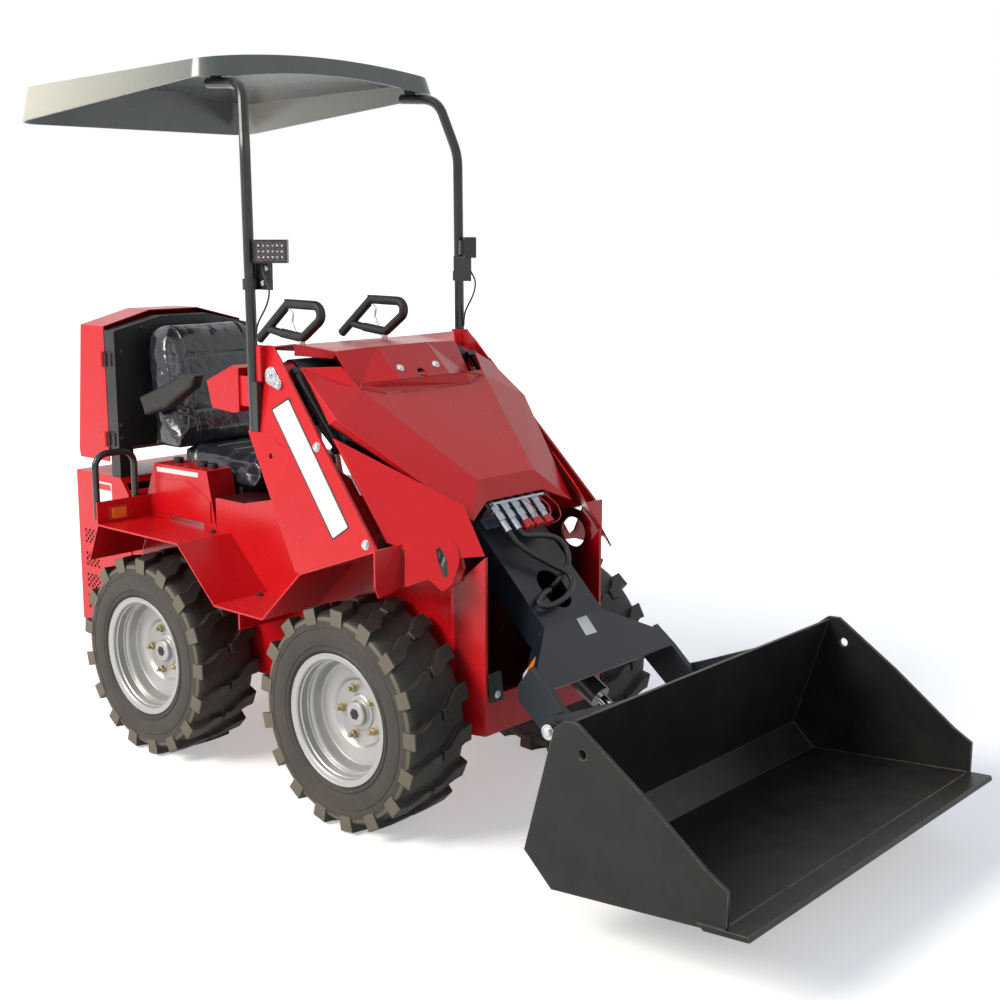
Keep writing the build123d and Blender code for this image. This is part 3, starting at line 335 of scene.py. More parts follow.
def effect_group(name, inputs, output):
    """Shader node group with named value inputs and one output that changes over the surface."""
    group = bpy.data.node_groups.new(name, "ShaderNodeTree")
    for label in inputs:
        group.interface.new_socket(label, in_out="INPUT", socket_type="NodeSocketFloat")
    group.interface.new_socket(output, in_out="OUTPUT", socket_type="NodeSocketFloat")
    return group, group.nodes.new("NodeGroupInput").outputs


# Rubbed edges: how far the rounded normal turns away from the flat one.
rub_group, rub_in = effect_group("rubbed_edges", ["Width", "Break Up"], "Mask")
rub_flat = tree_step(rub_group, "ShaderNodeNewGeometry").outputs["Normal"]
rub_round = tree_step(rub_group, "ShaderNodeBevel", [("Radius", rub_in["Width"])], samples=4)
rub_turn = tree_step(
    rub_group, "ShaderNodeVectorMath", [(0, rub_flat), (1, rub_round)], operation="DOT_PRODUCT"
)
rub_sharp = ramp_step(rub_group, rub_turn.outputs["Value"], 0.995, 0.90)
rub_patch = ramp_step(rub_group, noise_step(rub_group, 38.0, 4.0), 0.42, 0.62)
rub_share = tree_step(rub_group, "ShaderNodeMix", [(0, rub_in["Break Up"]), (2, 1.0), (3, rub_patch)])
tree_step(rub_group, "NodeGroupOutput", [(0, math_step(rub_group, "MULTIPLY", rub_sharp, rub_share))])

# Fine relief: the orange peel of paint, the grain of rubber or the texture of moulded plastic.
relief_group, relief_in = effect_group("fine_relief", ["Scale", "Coarse Share"], "Height")
relief_fine = noise_step(relief_group, relief_in["Scale"], 3.0)
relief_slow = noise_step(relief_group, 9.0, 2.0)
relief_mix = tree_step(
    relief_group, "ShaderNodeMix", [(0, relief_in["Coarse Share"]), (2, relief_fine), (3, relief_slow)]
)
tree_step(relief_group, "NodeGroupOutput", [(0, relief_mix)])

# Dust: thin film in patches, thicker low down.
dust_group, dust_in = effect_group("settled_dust", ["Amount", "Height Reach"], "Mask")
dust_low = ramp_step(dust_group, own_axes(dust_group)["Z"], dust_in["Height Reach"], 0.0, 0.25)
dust_patch = ramp_step(
    dust_group, noise_step(dust_group, 14.0, 6.0, 0.65), 0.32, 0.74, 0.15, interpolation_type="SMOOTHSTEP"
)
dust_mask = math_step(
    dust_group, "MULTIPLY", math_step(dust_group, "MULTIPLY", dust_low, dust_patch), dust_in["Amount"]
)
dust_mask.use_clamp = True
tree_step(dust_group, "NodeGroupOutput", [(0, dust_mask)])


def group_step(tree, group, values):
    """A group placed in a material with its own values."""
    step = tree.nodes.new("ShaderNodeGroup")
    step.node_tree = group
    for label, value in values.items():
        step.inputs[label].default_value = value
    return step


def surface_finish(
    name, colour, rough, metal=0.0, coat=0.0, shade=0.82, relief=(900.0, 0.0, 0.00005), edge=(0.0015, 0.6),
    edge_colour=None, dust=0.0, dust_colour=(0.32, 0.27, 0.21), dust_reach=0.9, shine=0.5,
):
    """Finish with mottled colour, fine relief, rubbed edges and settled dust.

    relief is its scale, its coarse share and its depth; edge is the width of the rubbing and its break up.
    """
    material = bpy.data.materials.new(name)
    material.use_nodes = True
    tree = material.node_tree
    skin = tree.nodes["Principled BSDF"].inputs
    skin["Metallic"].default_value = metal
    skin["Coat Weight"].default_value = coat
    skin["Coat Roughness"].default_value = 0.12
    skin["Specular IOR Level"].default_value = shine
    mottle = noise_step(tree, 4.5, 5.0)
    shown = colour_mix(tree, mottle, [part * shade for part in colour], colour)
    if edge_colour:
        rubbed = group_step(tree, rub_group, {"Width": edge[0], "Break Up": edge[1]})
        shown = colour_mix(tree, rubbed, shown, edge_colour)
    if dust:
        film = group_step(tree, dust_group, {"Amount": dust, "Height Reach": dust_reach})
        shown = colour_mix(tree, film, shown, dust_colour)
    tree.links.new(shown, skin["Base Color"])
    spread = ramp_step(tree, mottle, 0.3, 0.7, max(rough - 0.06, 0.02), min(rough + 0.06, 1.0))
    tree.links.new(spread.outputs[0], skin["Roughness"])
    height = group_step(tree, relief_group, {"Scale": relief[0], "Coarse Share": relief[1]})
    rounded = tree_step(tree, "ShaderNodeBevel", [("Radius", edge[0])], samples=4)
    bump = tree_step(
        tree, "ShaderNodeBump",
        [("Height", height), ("Distance", relief[2]), ("Strength", 1.0), ("Normal", rounded)],
    )
    tree.links.new(bump.outputs[0], skin["Normal"])
    return material


def tinted(material, share, colour):
    """Lay a further colour over a finish, by a share from 0 to 1."""
    tree = material.node_tree
    skin = tree.nodes["Principled BSDF"].inputs["Base Color"]
    tree.links.new(colour_mix(tree, share, skin.links[0].from_socket, colour), skin)


hose_rubber = surface_finish(
    "hose_rubber", (0.010, 0.010, 0.011), 0.42, relief=(700.0, 0.1, 0.00008), dust=0.06, dust_reach=1.4,
    shine=0.4,
)
finished(hoses + leads + sleeves, hose_rubber)
red_plastic = surface_finish("red_cap_plastic", (0.50, 0.010, 0.012), 0.38, coat=0.1)
finished(tethers + [nodes["coupler_caps"]], red_plastic)

# Studio: an overcast daylight dome, one broad window of light from the machine's right, a weaker one
# in front, and a white floor that keeps the machine's soft shadow.
white = (1, 1, 1, 1)
world = bpy.data.worlds.new("daylight")
bpy.context.scene.world = world
world.use_nodes = True
sky = world.node_tree
sky.nodes.clear()


def plain_rays(tree):
    """1 for the rays that meet a plain white background: the camera's, and those in gloss and glass."""
    path = tree_step(tree, "ShaderNodeLightPath").outputs
    through = math_step(tree, "MAXIMUM", path["Is Glossy Ray"], path["Is Transmission Ray"])
    return math_step(tree, "MAXIMUM", path["Is Camera Ray"], through)


sky_place = tree_step(sky, "ShaderNodeTexCoord").outputs["Generated"]
sky_axes = tree_step(sky, "ShaderNodeSeparateXYZ", [(0, sky_place)]).outputs
sky_ramp = colour_mix(sky, sky_axes["Z"], (0.86, 0.87, 0.90), (0.56, 0.68, 0.88))
sky_lit = tree_step(sky, "ShaderNodeBackground", [("Color", sky_ramp), ("Strength", 0.42)])
sky_seen = tree_step(sky, "ShaderNodeBackground", [("Color", white), ("Strength", 1.0)])
sky_mix = tree_step(sky, "ShaderNodeMixShader", [(0, plain_rays(sky)), (1, sky_lit), (2, sky_seen)])
tree_step(sky, "ShaderNodeOutputWorld", [("Surface", sky_mix)])
bpy.context.scene.view_settings.view_transform = "Standard"


def window_of_light(name, place, target, width, watts, colour):
    """Square window of light that faces a target."""
    data = bpy.data.lights.new(name, "AREA")
    data.size = width
    data.energy = watts
    data.color = colour
    lamp = new_object(name, data)
    lamp.location = place
    lamp.rotation_euler = (Vector(target) - Vector(place)).to_track_quat("-Z", "Y").to_euler()


window_of_light("right_window", (-1.6, -5.6, 4.6), (0.1, 0.0, 0.8), 3.0, 540.0, (1.0, 0.95, 0.86))
window_of_light("front_window", (6.0, -0.8, 3.8), (0.3, 0.0, 0.6), 3.5, 55.0, (0.92, 0.96, 1.0))
floor_reach = 30
floor_corners = [(x * floor_reach, y * floor_reach, 0) for x, y in ((-1, -1), (1, -1), (1, 1), (-1, 1))]
floor_mesh = bpy.data.meshes.new("floor")
floor_mesh.from_pydata(floor_corners, [], [(0, 1, 2, 3)])
floor = new_object("floor", floor_mesh)
floor_finish = bpy.data.materials.new("white_floor")
floor_finish.use_nodes = True
ground = floor_finish.node_tree
ground.nodes.clear()
ground_place = tree_step(ground, "ShaderNodeTexCoord").outputs["Object"]
ground_away = tree_step(
    ground, "ShaderNodeVectorMath", [(0, ground_place), (1, (0.3, 0.0, 0.0))], operation="DISTANCE"
)
ground_far = ramp_step(ground, ground_away.outputs["Value"], 1.5, 3.6, 0.42, 1.0)
ground_share = math_step(ground, "MULTIPLY", ground_far, plain_rays(ground))
ground_glow = tree_step(ground, "ShaderNodeEmission", [("Color", white), ("Strength", ground_share)])
ground_matt = tree_step(ground, "ShaderNodeBsdfDiffuse", [("Color", (0.86, 0.86, 0.86, 1))])
ground_both = tree_step(ground, "ShaderNodeAddShader", [(0, ground_matt), (1, ground_glow)])
tree_step(ground, "ShaderNodeOutputMaterial", [("Surface", ground_both)])
floor_mesh.materials.append(floor_finish)

# Tyres: bias-ply black rubber, each a carcass with ringed sidewalls and a tread of bent lugs in two
# rows, half a pitch apart. The sidewalls stay without lettering and carry a film of dry dust.
wheel_z = 0.288
wheel_y = 0.372
tread_radius = 0.288
lugs_a_side = 17
wheel_places = {
    "front_right": (0.4085, -1),
    "front_left": (0.4085, 1),
    "rear_right": (-0.4085, -1),
    "rear_left": (-0.4085, 1),
}


def lofted(name, rings, closed=False):
    """Mesh through rings of places: closed joins the last ring to the first, open has caps at its ends."""
    shape = bmesh.new()
    rows = [[shape.verts.new(place) for place in ring] for ring in rings]
    pairs = list(zip(rows, rows[1:]))
    if closed:
        pairs.append((rows[-1], rows[0]))
    for low, high in pairs:
        for a in range(len(low)):
            b = (a + 1) % len(low)
            shape.faces.new((low[a], low[b], high[b], high[a]))
    if not closed:
        shape.faces.new(rows[-1])
        shape.faces.new(list(reversed(rows[0])))
    bmesh.ops.recalc_face_normals(shape, faces=shape.faces)
    mesh = bpy.data.meshes.new(name)
    shape.to_mesh(mesh)
    shape.free()
    return mesh


def turned(name, profile, steps, closed=False):
    """Mesh of a (radius, y) outline turned about the wheel's axle."""
    angles = [2 * math.pi * step / steps for step in range(steps)]
    ways = [(math.cos(angle), math.sin(angle)) for angle in angles]
    return lofted(name, [[(radius * x, y, radius * z) for x, z in ways] for radius, y in profile], closed)


def smooth_below(mesh, degrees):
    """Smooth faces whose edges stay sharp past an angle."""
    mesh.polygons.foreach_set("use_smooth", [True] * len(mesh.polygons))
    mesh.set_sharp_from_angle(angle=math.radians(degrees))


def joined(name, meshes):
    """One mesh from several."""
    shape = bmesh.new()
    for mesh in meshes:
        shape.from_mesh(mesh)
    whole = bpy.data.meshes.new(name)
    shape.to_mesh(whole)
    shape.free()
    return whole


def on_axle(mesh, name):
    """Wheel mesh, made about the origin for the left side, carried to its place."""
    axle_x, side = wheel_places[name]
    turn = Matrix.Rotation(math.pi, 4, "Z") if side < 0 else Matrix.Identity(4)
    mesh.transform(Matrix.Translation((axle_x, side * wheel_y, wheel_z)) @ turn)
    return mesh


ring_tree, ring_in = named_tree("turned_about_axle", [("Count", "Int")])
ring_points = tree_step(
    ring_tree, "GeometryNodeMeshLine", [("Count", ring_in["Count"]), ("Offset", (0, 0, 0))]
)
ring_index = tree_step(ring_tree, "GeometryNodeInputIndex")
ring_share = math_step(ring_tree, "DIVIDE", ring_index, ring_in["Count"])
ring_angle = math_step(ring_tree, "MULTIPLY", ring_share, 2 * math.pi)
ring_turn = tree_step(ring_tree, "ShaderNodeCombineXYZ", [("Y", ring_angle)])
ring_copies = tree_step(
    ring_tree, "GeometryNodeInstanceOnPoints",
    [("Points", ring_points), ("Instance", ring_in["Geometry"]), ("Rotation", ring_turn)],
)
tree_end(ring_tree, ring_in, ring_copies)

half_carcass = [
    (0.1553, 0.0880), (0.1600, 0.0897), (0.1703, 0.0899), (0.1728, 0.0925), (0.1765, 0.0962),
    (0.1815, 0.0974), (0.1845, 0.0960), (0.1862, 0.0942), (0.1885, 0.0945), (0.1905, 0.0966),
    (0.2040, 0.0984), (0.2190, 0.0984), (0.2275, 0.0972), (0.2295, 0.0952), (0.2330, 0.0952),
    (0.2350, 0.0968), (0.2420, 0.0966), (0.2520, 0.0950), (0.2610, 0.0915), (0.2675, 0.0840),
    (0.2705, 0.0700), (0.2722, 0.0450), (0.2730, 0.0200),
]
carcass = turned("carcass", half_carcass + [(r, -y) for r, y in reversed(half_carcass)], 96, True)
smooth_below(carcass, 40)
# Lug outline, (along the tread, out from the middle): shoulder block, then a bar bent to the middle.
lug_outline = [
    (-0.037, 0.0985), (0.006, 0.0985), (0.008, 0.0740), (0.020, 0.0520), (0.036, 0.0300), (0.037, 0.0040),
    (0.010, 0.0040), (0.006, 0.0200), (-0.012, 0.0380), (-0.030, 0.0580),
]
lug_middle = Vector((0.0, 0.052))
lug_levels = ((0.244, -0.0030), (0.2835, 0.0), (0.2862, 0.0012), (0.2876, 0.0036))
shoulder_start = 0.07
shoulder_width = 0.03
shoulder_fall = 0.0025


def lug(side):
    """One lug of a row: a raised block with a chamfered top and drafted sides, curved to the tread."""
    rings = []
    for radius, shrink in lug_levels:
        ring = []
        for t, y in lug_outline:
            pull = (lug_middle - Vector((t, y))).normalized() * shrink
            y_at = y + (pull.y if shrink > 0 else min(pull.y, 0.0))
            angle = side * (t + pull.x) / tread_radius
            if side < 0:
                angle += math.pi / lugs_a_side
            out = radius
            if radius > lug_levels[0][0]:
                out -= shoulder_fall * max(0.0, (abs(y_at) - shoulder_start) / shoulder_width)
            ring.append((out * math.sin(angle), side * y_at, out * math.cos(angle)))
        rings.append(ring)
    return lofted("lug", rings)


tyre_rubber = surface_finish(
    "tyre_rubber", (0.014, 0.0135, 0.013), 0.58, relief=(420.0, 0.15, 0.00035), edge=(0.0022, 0.45),
    edge_colour=(0.10, 0.088, 0.072), dust=0.20, dust_colour=(0.16, 0.13, 0.095), dust_reach=0.75, shine=0.35,
)
tyre_scuffed = tree_step(tyre_rubber.node_tree, "ShaderNodeAttribute", attribute_name="scuffed")
tinted(tyre_rubber, tyre_scuffed.outputs["Fac"], (0.150, 0.128, 0.098))
tread = grown_mesh(new_object("lugs", joined("lugs", [lug(1), lug(-1)])), ring_tree, {"Count": lugs_a_side})
tyre_mesh = joined("tyre", [carcass, tread])
smooth_below(tyre_mesh, 35)
# The ends of the lugs and the upper sidewall are scuffed pale.
scuffs = tyre_mesh.attributes.new("scuffed", "FLOAT", "FACE")
for polygon, scuff in zip(tyre_mesh.polygons, scuffs.data):
    centre = polygon.center
    radius = math.hypot(centre.x, centre.z)
    sideways = abs(polygon.normal.y) > 0.8 and abs(centre.y) > 0.090
    scuff.value = (0.80 if radius > 0.252 else 0.16 if radius > 0.186 else 0.08) if sideways else 0.0
for name in wheel_places:
    tyre = placed(
        "tread_tyre_" + name, on_axle(tyre_mesh.copy(), name), "wheel_" + name, tyre_rubber
    )
    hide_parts("tyre_" + name)

# Rims: pressed steel discs welded in rolled barrels, painted silver. Five plated nuts on studs hold
# each to its hub, whose boss carries a black centre bolt. A rubber valve stands in the dish.
rim_outline = [
    (0.1550, -0.0898), (0.1690, -0.0900), (0.1698, -0.0938), (0.1510, -0.0940), (0.1510, 0.0010),
    (0.0420, 0.0010), (0.0420, 0.0090), (0.0800, 0.0090), (0.0840, 0.0098), (0.0900, 0.0160),
    (0.0950, 0.0188), (0.1290, 0.0190), (0.1328, 0.0204), (0.1352, 0.0240), (0.1372, 0.0420),
    (0.1395, 0.0480), (0.1430, 0.0520), (0.1490, 0.0535), (0.1508, 0.0560), (0.1510, 0.0700),
    (0.1480, 0.0725), (0.1480, 0.0765), (0.1510, 0.0790), (0.1516, 0.0870), (0.1545, 0.0905),
    (0.1600, 0.0918), (0.1650, 0.0922), (0.1675, 0.0938), (0.1697, 0.0930), (0.1698, 0.0900),
    (0.1560, 0.0897),
]
hub_outline = [
    (0.0465, 0.0090), (0.0465, 0.0120), (0.0440, 0.0140), (0.0335, 0.0145), (0.0320, 0.0160),
    (0.0315, 0.0270), (0.0290, 0.0300), (0.0150, 0.0305),
]
centre_bolt_outline = [
    (0.0150, 0.0300), (0.0150, 0.0318), (0.0105, 0.0320), (0.0105, 0.0328), (0.0040, 0.0330)
]
valve_outline = [(0.0045, 0.019), (0.0052, 0.024), (0.0040, 0.034), (0.0036, 0.048), (0.0020, 0.049)]
nut_outline = [
    (0.0125, 0.0090), (0.0125, 0.0108), (0.0105, 0.0115), (0.0105, 0.0205), (0.0090, 0.0222),
    (0.0062, 0.0222),
]
stud_outline = [(0.0060, 0.0200), (0.0060, 0.0325), (0.0048, 0.0338)]
nut_circle = 0.0640
valve_circle = 0.1285
valve_angle = 2.2
rim_mesh = turned("rim", rim_outline, 96, True)
inner_hub = turned(
    "inner_hub", [(0.052, 0.0010), (0.052, -0.0245), (0.0225, -0.0245), (0.0225, 0.0080)], 48, True
)
hub_mesh = turned("hub", hub_outline, 48)
bolt_mesh = turned("centre_bolt", centre_bolt_outline, 6)
valve_mesh = turned("valve", valve_outline, 16)
valve_place = (valve_circle * math.cos(valve_angle), 0, valve_circle * math.sin(valve_angle))
valve_mesh.transform(Matrix.Translation(valve_place))
nut_mesh = joined("nut", [turned("nut_body", nut_outline, 6), turned("stud", stud_outline, 14)])
nut_mesh.transform(Matrix.Translation((nut_circle, 0, 0)))
rim_silver = surface_finish(
    "rim_silver", (0.44, 0.44, 0.44), 0.40, metal=0.70, shade=0.86, relief=(1400.0, 0.05, 0.00006),
    edge=(0.0015, 0.7), edge_colour=(0.62, 0.62, 0.62), dust=0.22, dust_colour=(0.42, 0.38, 0.32),
    dust_reach=0.6,
)
plated_brass = surface_finish(
    "yellow_zinc_plate", (0.42, 0.35, 0.20), 0.36, metal=1.0, edge=(0.0006, 0.3),
    edge_colour=(0.60, 0.54, 0.38),
)
black_steel = surface_finish(
    "blackened_steel", (0.025, 0.025, 0.028), 0.42, metal=0.4, edge=(0.0008, 0.5),
    edge_colour=(0.16, 0.15, 0.14),
)
nuts = grown_mesh(new_object("nuts", nut_mesh), ring_tree, {"Count": 5})
for part in (rim_mesh, inner_hub, hub_mesh):
    smooth_below(part, 32)
for part, degrees in ((bolt_mesh, 20), (valve_mesh, 40), (nuts, 24)):
    smooth_below(part, degrees)
wheel_parts = [
    ("rim_disc_", [rim_mesh, inner_hub, hub_mesh], rim_silver, "galvanised"),
    ("wheel_nuts_", [nuts], plated_brass, "zinc_steel"),
    ("hub_bolt_", [bolt_mesh, valve_mesh], black_steel, "zinc_steel"),
]
for name in wheel_places:
    for start, parts, finish, slot in wheel_parts:
        mesh = joined(start, parts)
        smooth_below(mesh, 32)
        piece = placed(start + name, on_axle(mesh, name), "wheel_" + name, finish)
        if finish is rim_silver:
            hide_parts("rim_" + name)
bare_black = surface_finish(
    "black_axle_paint", (0.020, 0.020, 0.021), 0.45, edge=(0.0015, 0.6), edge_colour=(0.10, 0.09, 0.08),
    dust=0.35, dust_reach=0.6,
)
finished([nodes["axle_housings"]], bare_black)

# Chassis, housing and sheet work: folded and welded steel in gloss red powder coat, with a little dust
# low down and lighter lines where the folds have rubbed.
red_paint = surface_finish(
    "red_powder_coat", (0.58, 0.003, 0.008), 0.30, coat=0.12, shade=0.86, relief=(330.0, 0.1, 0.00010),
    edge=(0.0020, 0.35), edge_colour=(0.72, 0.05, 0.05), dust=0.04, dust_colour=(0.42, 0.20, 0.15),
    dust_reach=0.9, shine=0.32,
)
red_parts = (
    "rear_housing", "fenders", "front_fender_plates", "tower_sides", "dash_panel", "cowls", "seat_consoles",
    "tower_consoles", "boom_hood", "engine_cover",
)
finished([nodes[name] for name in red_parts], red_paint)
# Painted shade: the tub's inner faces, within its sides, behind its front and above its floor, take a
# near-black colour in place of the shade that falls there.
tub_paint_with_painted_shade = red_paint.copy()
tub_paint_with_painted_shade.name = "red_tub_painted_shade_inside"
tub_tree = tub_paint_with_painted_shade.node_tree
tub_axes = own_axes(tub_tree)
tub_within = ramp_step(tub_tree, math_step(tub_tree, "ABSOLUTE", tub_axes["Y"]), 0.2515, 0.2530, 1.0, 0.0)
tub_behind = ramp_step(tub_tree, tub_axes["X"], 0.600, 0.670, 1.0, 0.0)
tub_above = ramp_step(tub_tree, tub_axes["Z"], 0.2475, 0.2490, 0.0, 0.93)
tub_painted_shade_mask = math_step(tub_tree, "MULTIPLY", tub_within, tub_behind)
tinted(tub_paint_with_painted_shade, math_step(tub_tree, "MULTIPLY", tub_painted_shade_mask, tub_above), (0.012, 0.006, 0.007))
finished([nodes["chassis_tub"]], tub_paint_with_painted_shade)

# Fastenings: hexagon bolts on washers, zinc plated on red panels and black on black ones. One tree puts
# a head and its washer at each point of a mesh, turned to the way that the point faces.
bolt_tree, bolt_in = named_tree(
    "bolts_at_points", [("Head Radius", "Float"), ("Head Height", "Float"), ("Washer Radius", "Float")]
)
bolt_facing = tree_step(
    bolt_tree, "GeometryNodeInputNamedAttribute", [("Name", "facing")], data_type="FLOAT_VECTOR"
)
bolt_turn = tree_step(bolt_tree, "FunctionNodeAlignRotationToVector", [("Vector", bolt_facing)], axis="Z")


def drum_step(tree, sides, top, bottom, height):
    """Drum with a number of sides, standing on the origin."""
    sizes = [("Vertices", sides), ("Radius Top", top), ("Radius Bottom", bottom), ("Depth", height)]
    return tree_step(tree, "GeometryNodeMeshCone", sizes)


bolt_head = drum_step(bolt_tree, 6, bolt_in["Head Radius"], bolt_in["Head Radius"], bolt_in["Head Height"])
bolt_top = math_step(bolt_tree, "MULTIPLY", bolt_in["Head Radius"], 0.78)
bolt_cap = drum_step(bolt_tree, 20, bolt_top, bolt_in["Head Radius"], 0.0008)
bolt_lift = tree_step(bolt_tree, "ShaderNodeCombineXYZ", [("Z", bolt_in["Head Height"])])
bolt_cap_up = tree_step(
    bolt_tree, "GeometryNodeTransform", [("Geometry", bolt_cap), ("Translation", bolt_lift)]
)
bolt_washer = drum_step(bolt_tree, 24, bolt_in["Washer Radius"], bolt_in["Washer Radius"], 0.0015)
bolt_whole = tree_step(
    bolt_tree, "GeometryNodeJoinGeometry", [(0, bolt_head), (0, bolt_cap_up), (0, bolt_washer)]
)
bolt_copies = tree_step(
    bolt_tree, "GeometryNodeInstanceOnPoints",
    [("Points", bolt_in["Geometry"]), ("Instance", bolt_whole), ("Rotation", bolt_turn)],
)
tree_end(bolt_tree, bolt_in, bolt_copies)
zinc_plate = surface_finish(
    "bright_zinc_plate", (0.60, 0.61, 0.63), 0.26, metal=1.0, edge=(0.0006, 0.3),
    edge_colour=(0.85, 0.85, 0.86),
)


def bolts(name, rows, head, finish, body, mirrored=True):
    """Bolts at (place, facing) rows on one body; head is their radius, height and washer radius."""
    rows = [(Vector(place), Vector(facing).normalized()) for place, facing in rows]
    if mirrored:
        rows += [(Vector((p.x, -p.y, p.z)), Vector((f.x, -f.y, f.z))) for p, f in rows]
    mesh = bpy.data.meshes.new(name)
    mesh.from_pydata([place for place, _ in rows], [], [])
    facings = mesh.attributes.new("facing", "FLOAT_VECTOR", "POINT")
    for slot, (_, facing) in zip(facings.data, rows):
        slot.vector = facing
    sizes = {"Head Radius": head[0], "Head Height": head[1], "Washer Radius": head[2], "Finish": finish}
    grown = grown_mesh(new_object(name, mesh), bolt_tree, sizes)
    smooth_below(grown, 28)
    placed(name, grown, body, finish)


# The towers' outer faces lean in from foot to top; the other faces are square to the machine.
tower_foot_y = 0.440
tower_top_y = 0.370
tower_top_z = 1.190
tower_foot_z = 0.634
tower_slope = (tower_foot_y - tower_top_y) / (tower_top_z - tower_foot_z)
tower_facing = Vector((0, 1, tower_slope)).normalized()
dash_facing = (0.682, 0, 0.7314)
ahead = (1, 0, 0)
aside = (0, 1, 0)
upward = (0, 0, 1)


def on_tower(x, z, lift=0.0):
    """Place on the left tower's leaning outer face."""
    return Vector((x, tower_top_y + tower_slope * (tower_top_z - z), z)) + tower_facing * lift


tower_rows = [(on_tower(0.288, 0.953), tower_facing), (on_tower(0.488, 0.739), tower_facing)]
bolts("tower_bolts", tower_rows, (0.0085, 0.007, 0.0125), zinc_plate, "chassis")
dash_rows = [((0.2445, -0.067, 1.1215), dash_facing), ((0.2445, 0.067, 1.1215), dash_facing)]
bolts("dash_bolts", dash_rows, (0.0075, 0.006, 0.0115), zinc_plate, "chassis", mirrored=False)
step_rows = [
    ((-0.092, 0.290, 0.487), upward), ((0.070, 0.290, 0.487), upward), ((-0.30, 0.285, 0.634), upward)
]
bolts("step_bolts", step_rows, (0.0070, 0.006, 0.0110), black_steel, "chassis")
box_rows = [
    ((-0.786, y, z), ahead) for y, z in ((0.236, 1.114), (0.246, 0.892), (0.246, 0.852), (0.157, 1.185))
]
bolts("engine_box_bolts", box_rows, (0.0060, 0.005, 0.0095), black_steel, "chassis")
keeper_rows = [(on_tower(0.126, 1.094, 0.0013), tower_facing)]
bolts("keeper_bolts", keeper_rows, (0.0085, 0.007, 0.0120), zinc_plate, "chassis")
bolts("pivot_grease_bolts", [((0.092, 0.3824, 1.115), aside)], (0.0060, 0.006, 0.0090), zinc_plate, "chassis")
finished([nodes["boom_pivot_pins"]], zinc_plate)


# Blank plates: white labels with black edges or small coloured bars, and amber reflectors, all without
# words. Each is a thin printed or moulded sheet stuck flat on its panel.
def plate(name, corners, facing, thick, radius, finish, body, slot="black_plastic"):
    """Flat sheet with rounded corners on a panel."""
    corners = [Vector(corner) for corner in corners]
    facing = Vector(facing).normalized()
    outline = []
    for before, here, after in zip(corners[-1:] + corners[:-1], corners, corners[1:] + corners[:1]):
        toward = (before - here).normalized()
        away = (after - here).normalized()
        for share in (0.0, 0.3, 0.7, 1.0):
            curve = (1 - share) ** 2 * toward + share ** 2 * away
            outline.append(here + curve * radius)
    placed(name, lofted(name, [outline, [spot + facing * thick for spot in outline]]), body, finish)


def plate_pair(name, corners, facing, *rest):
    """The same sheet on both sides, given for the left one."""
    for side, side_name in both_sides:
        spots = [(x, side * y, z) for x, y, z in corners]
        plate(name % side_name, spots, (facing[0], side * facing[1], facing[2]), *rest)


label_white = surface_finish(
    "blank_label_vinyl", (0.74, 0.74, 0.75), 0.35, relief=(800.0, 0.0, 0.00002), dust=0.06
)
# Black vinyl for printed label edges; the same material makes the black sheets of painted shade in the vents
# and over the tie plates' slots.
black_print_and_painted_shade = surface_finish("black_vinyl_print_and_painted_shade", (0.02, 0.02, 0.022), 0.35, relief=(800.0, 0.0, 0.00002))
label_red = surface_finish("red_label_vinyl", (0.55, 0.03, 0.03), 0.35, relief=(800.0, 0.0, 0.00002))
label_orange = surface_finish("orange_label_vinyl", (0.80, 0.22, 0.03), 0.35, relief=(800.0, 0.0, 0.00002))
amber = surface_finish("amber_reflector", (0.85, 0.24, 0.02), 0.18, coat=0.8, relief=(260.0, 0.0, 0.0004))
tower_edge = [on_tower(x, z) for x, z in ((0.168, 1.066), (0.104, 1.030), (0.370, 0.732), (0.427, 0.772))]
tower_sheet = [
    on_tower(x, z, 0.0005) for x, z in ((0.168, 1.060), (0.110, 1.029), (0.371, 0.738), (0.421, 0.772))
]
plate_pair("tower_label_edge_%s", tower_edge, tower_facing, 0.0005, 0.003, black_print_and_painted_shade, "chassis")
plate_pair("tower_label_%s", tower_sheet, tower_facing, 0.0004, 0.003, label_white, "chassis")


def side_sheet(y, x_rear, x_front, z_low, z_high):
    """Corners of an upright rectangle at one distance from the middle."""
    return [(x_rear, y, z_high), (x_front, y, z_high), (x_front, y, z_low), (x_rear, y, z_low)]


def face_sheet(x, y_low, y_high, z_low, z_high):
    """Corners of an upright rectangle that looks ahead."""
    return [(x, y_low, z_low), (x, y_high, z_low), (x, y_high, z_high), (x, y_low, z_high)]


housing_label = side_sheet(0.258, -0.926, -0.838, 0.590, 0.706)
housing_head = side_sheet(0.2586, -0.920, -0.844, 0.682, 0.700)
housing_foot = side_sheet(0.2586, -0.920, -0.844, 0.596, 0.612)
console_strip = [
    (-0.600, 0.255, 0.786), (-0.400, 0.255, 0.790), (-0.400, 0.255, 0.776), (-0.600, 0.255, 0.772),
]
reflector_front = face_sheet(-0.640, 0.345, 0.392, 0.644, 0.676)
reflector_back = face_sheet(-0.640, 0.337, 0.400, 0.638, 0.682)
for name, corners, facing, thick, radius, finish in (
    ("housing_label_%s", housing_label, aside, 0.0006, 0.003, label_white),
    ("housing_label_head_%s", housing_head, aside, 0.0004, 0.001, label_red),
    ("housing_label_foot_%s", housing_foot, aside, 0.0004, 0.001, label_orange),
    ("console_label_%s", console_strip, aside, 0.0006, 0.002, label_white),
    ("amber_reflector_%s", reflector_front, ahead, 0.006, 0.005, amber),
    ("reflector_back_%s", reflector_back, ahead, 0.0025, 0.004, label_red),
):
    plate_pair(name, corners, facing, thick, radius, finish, "chassis")
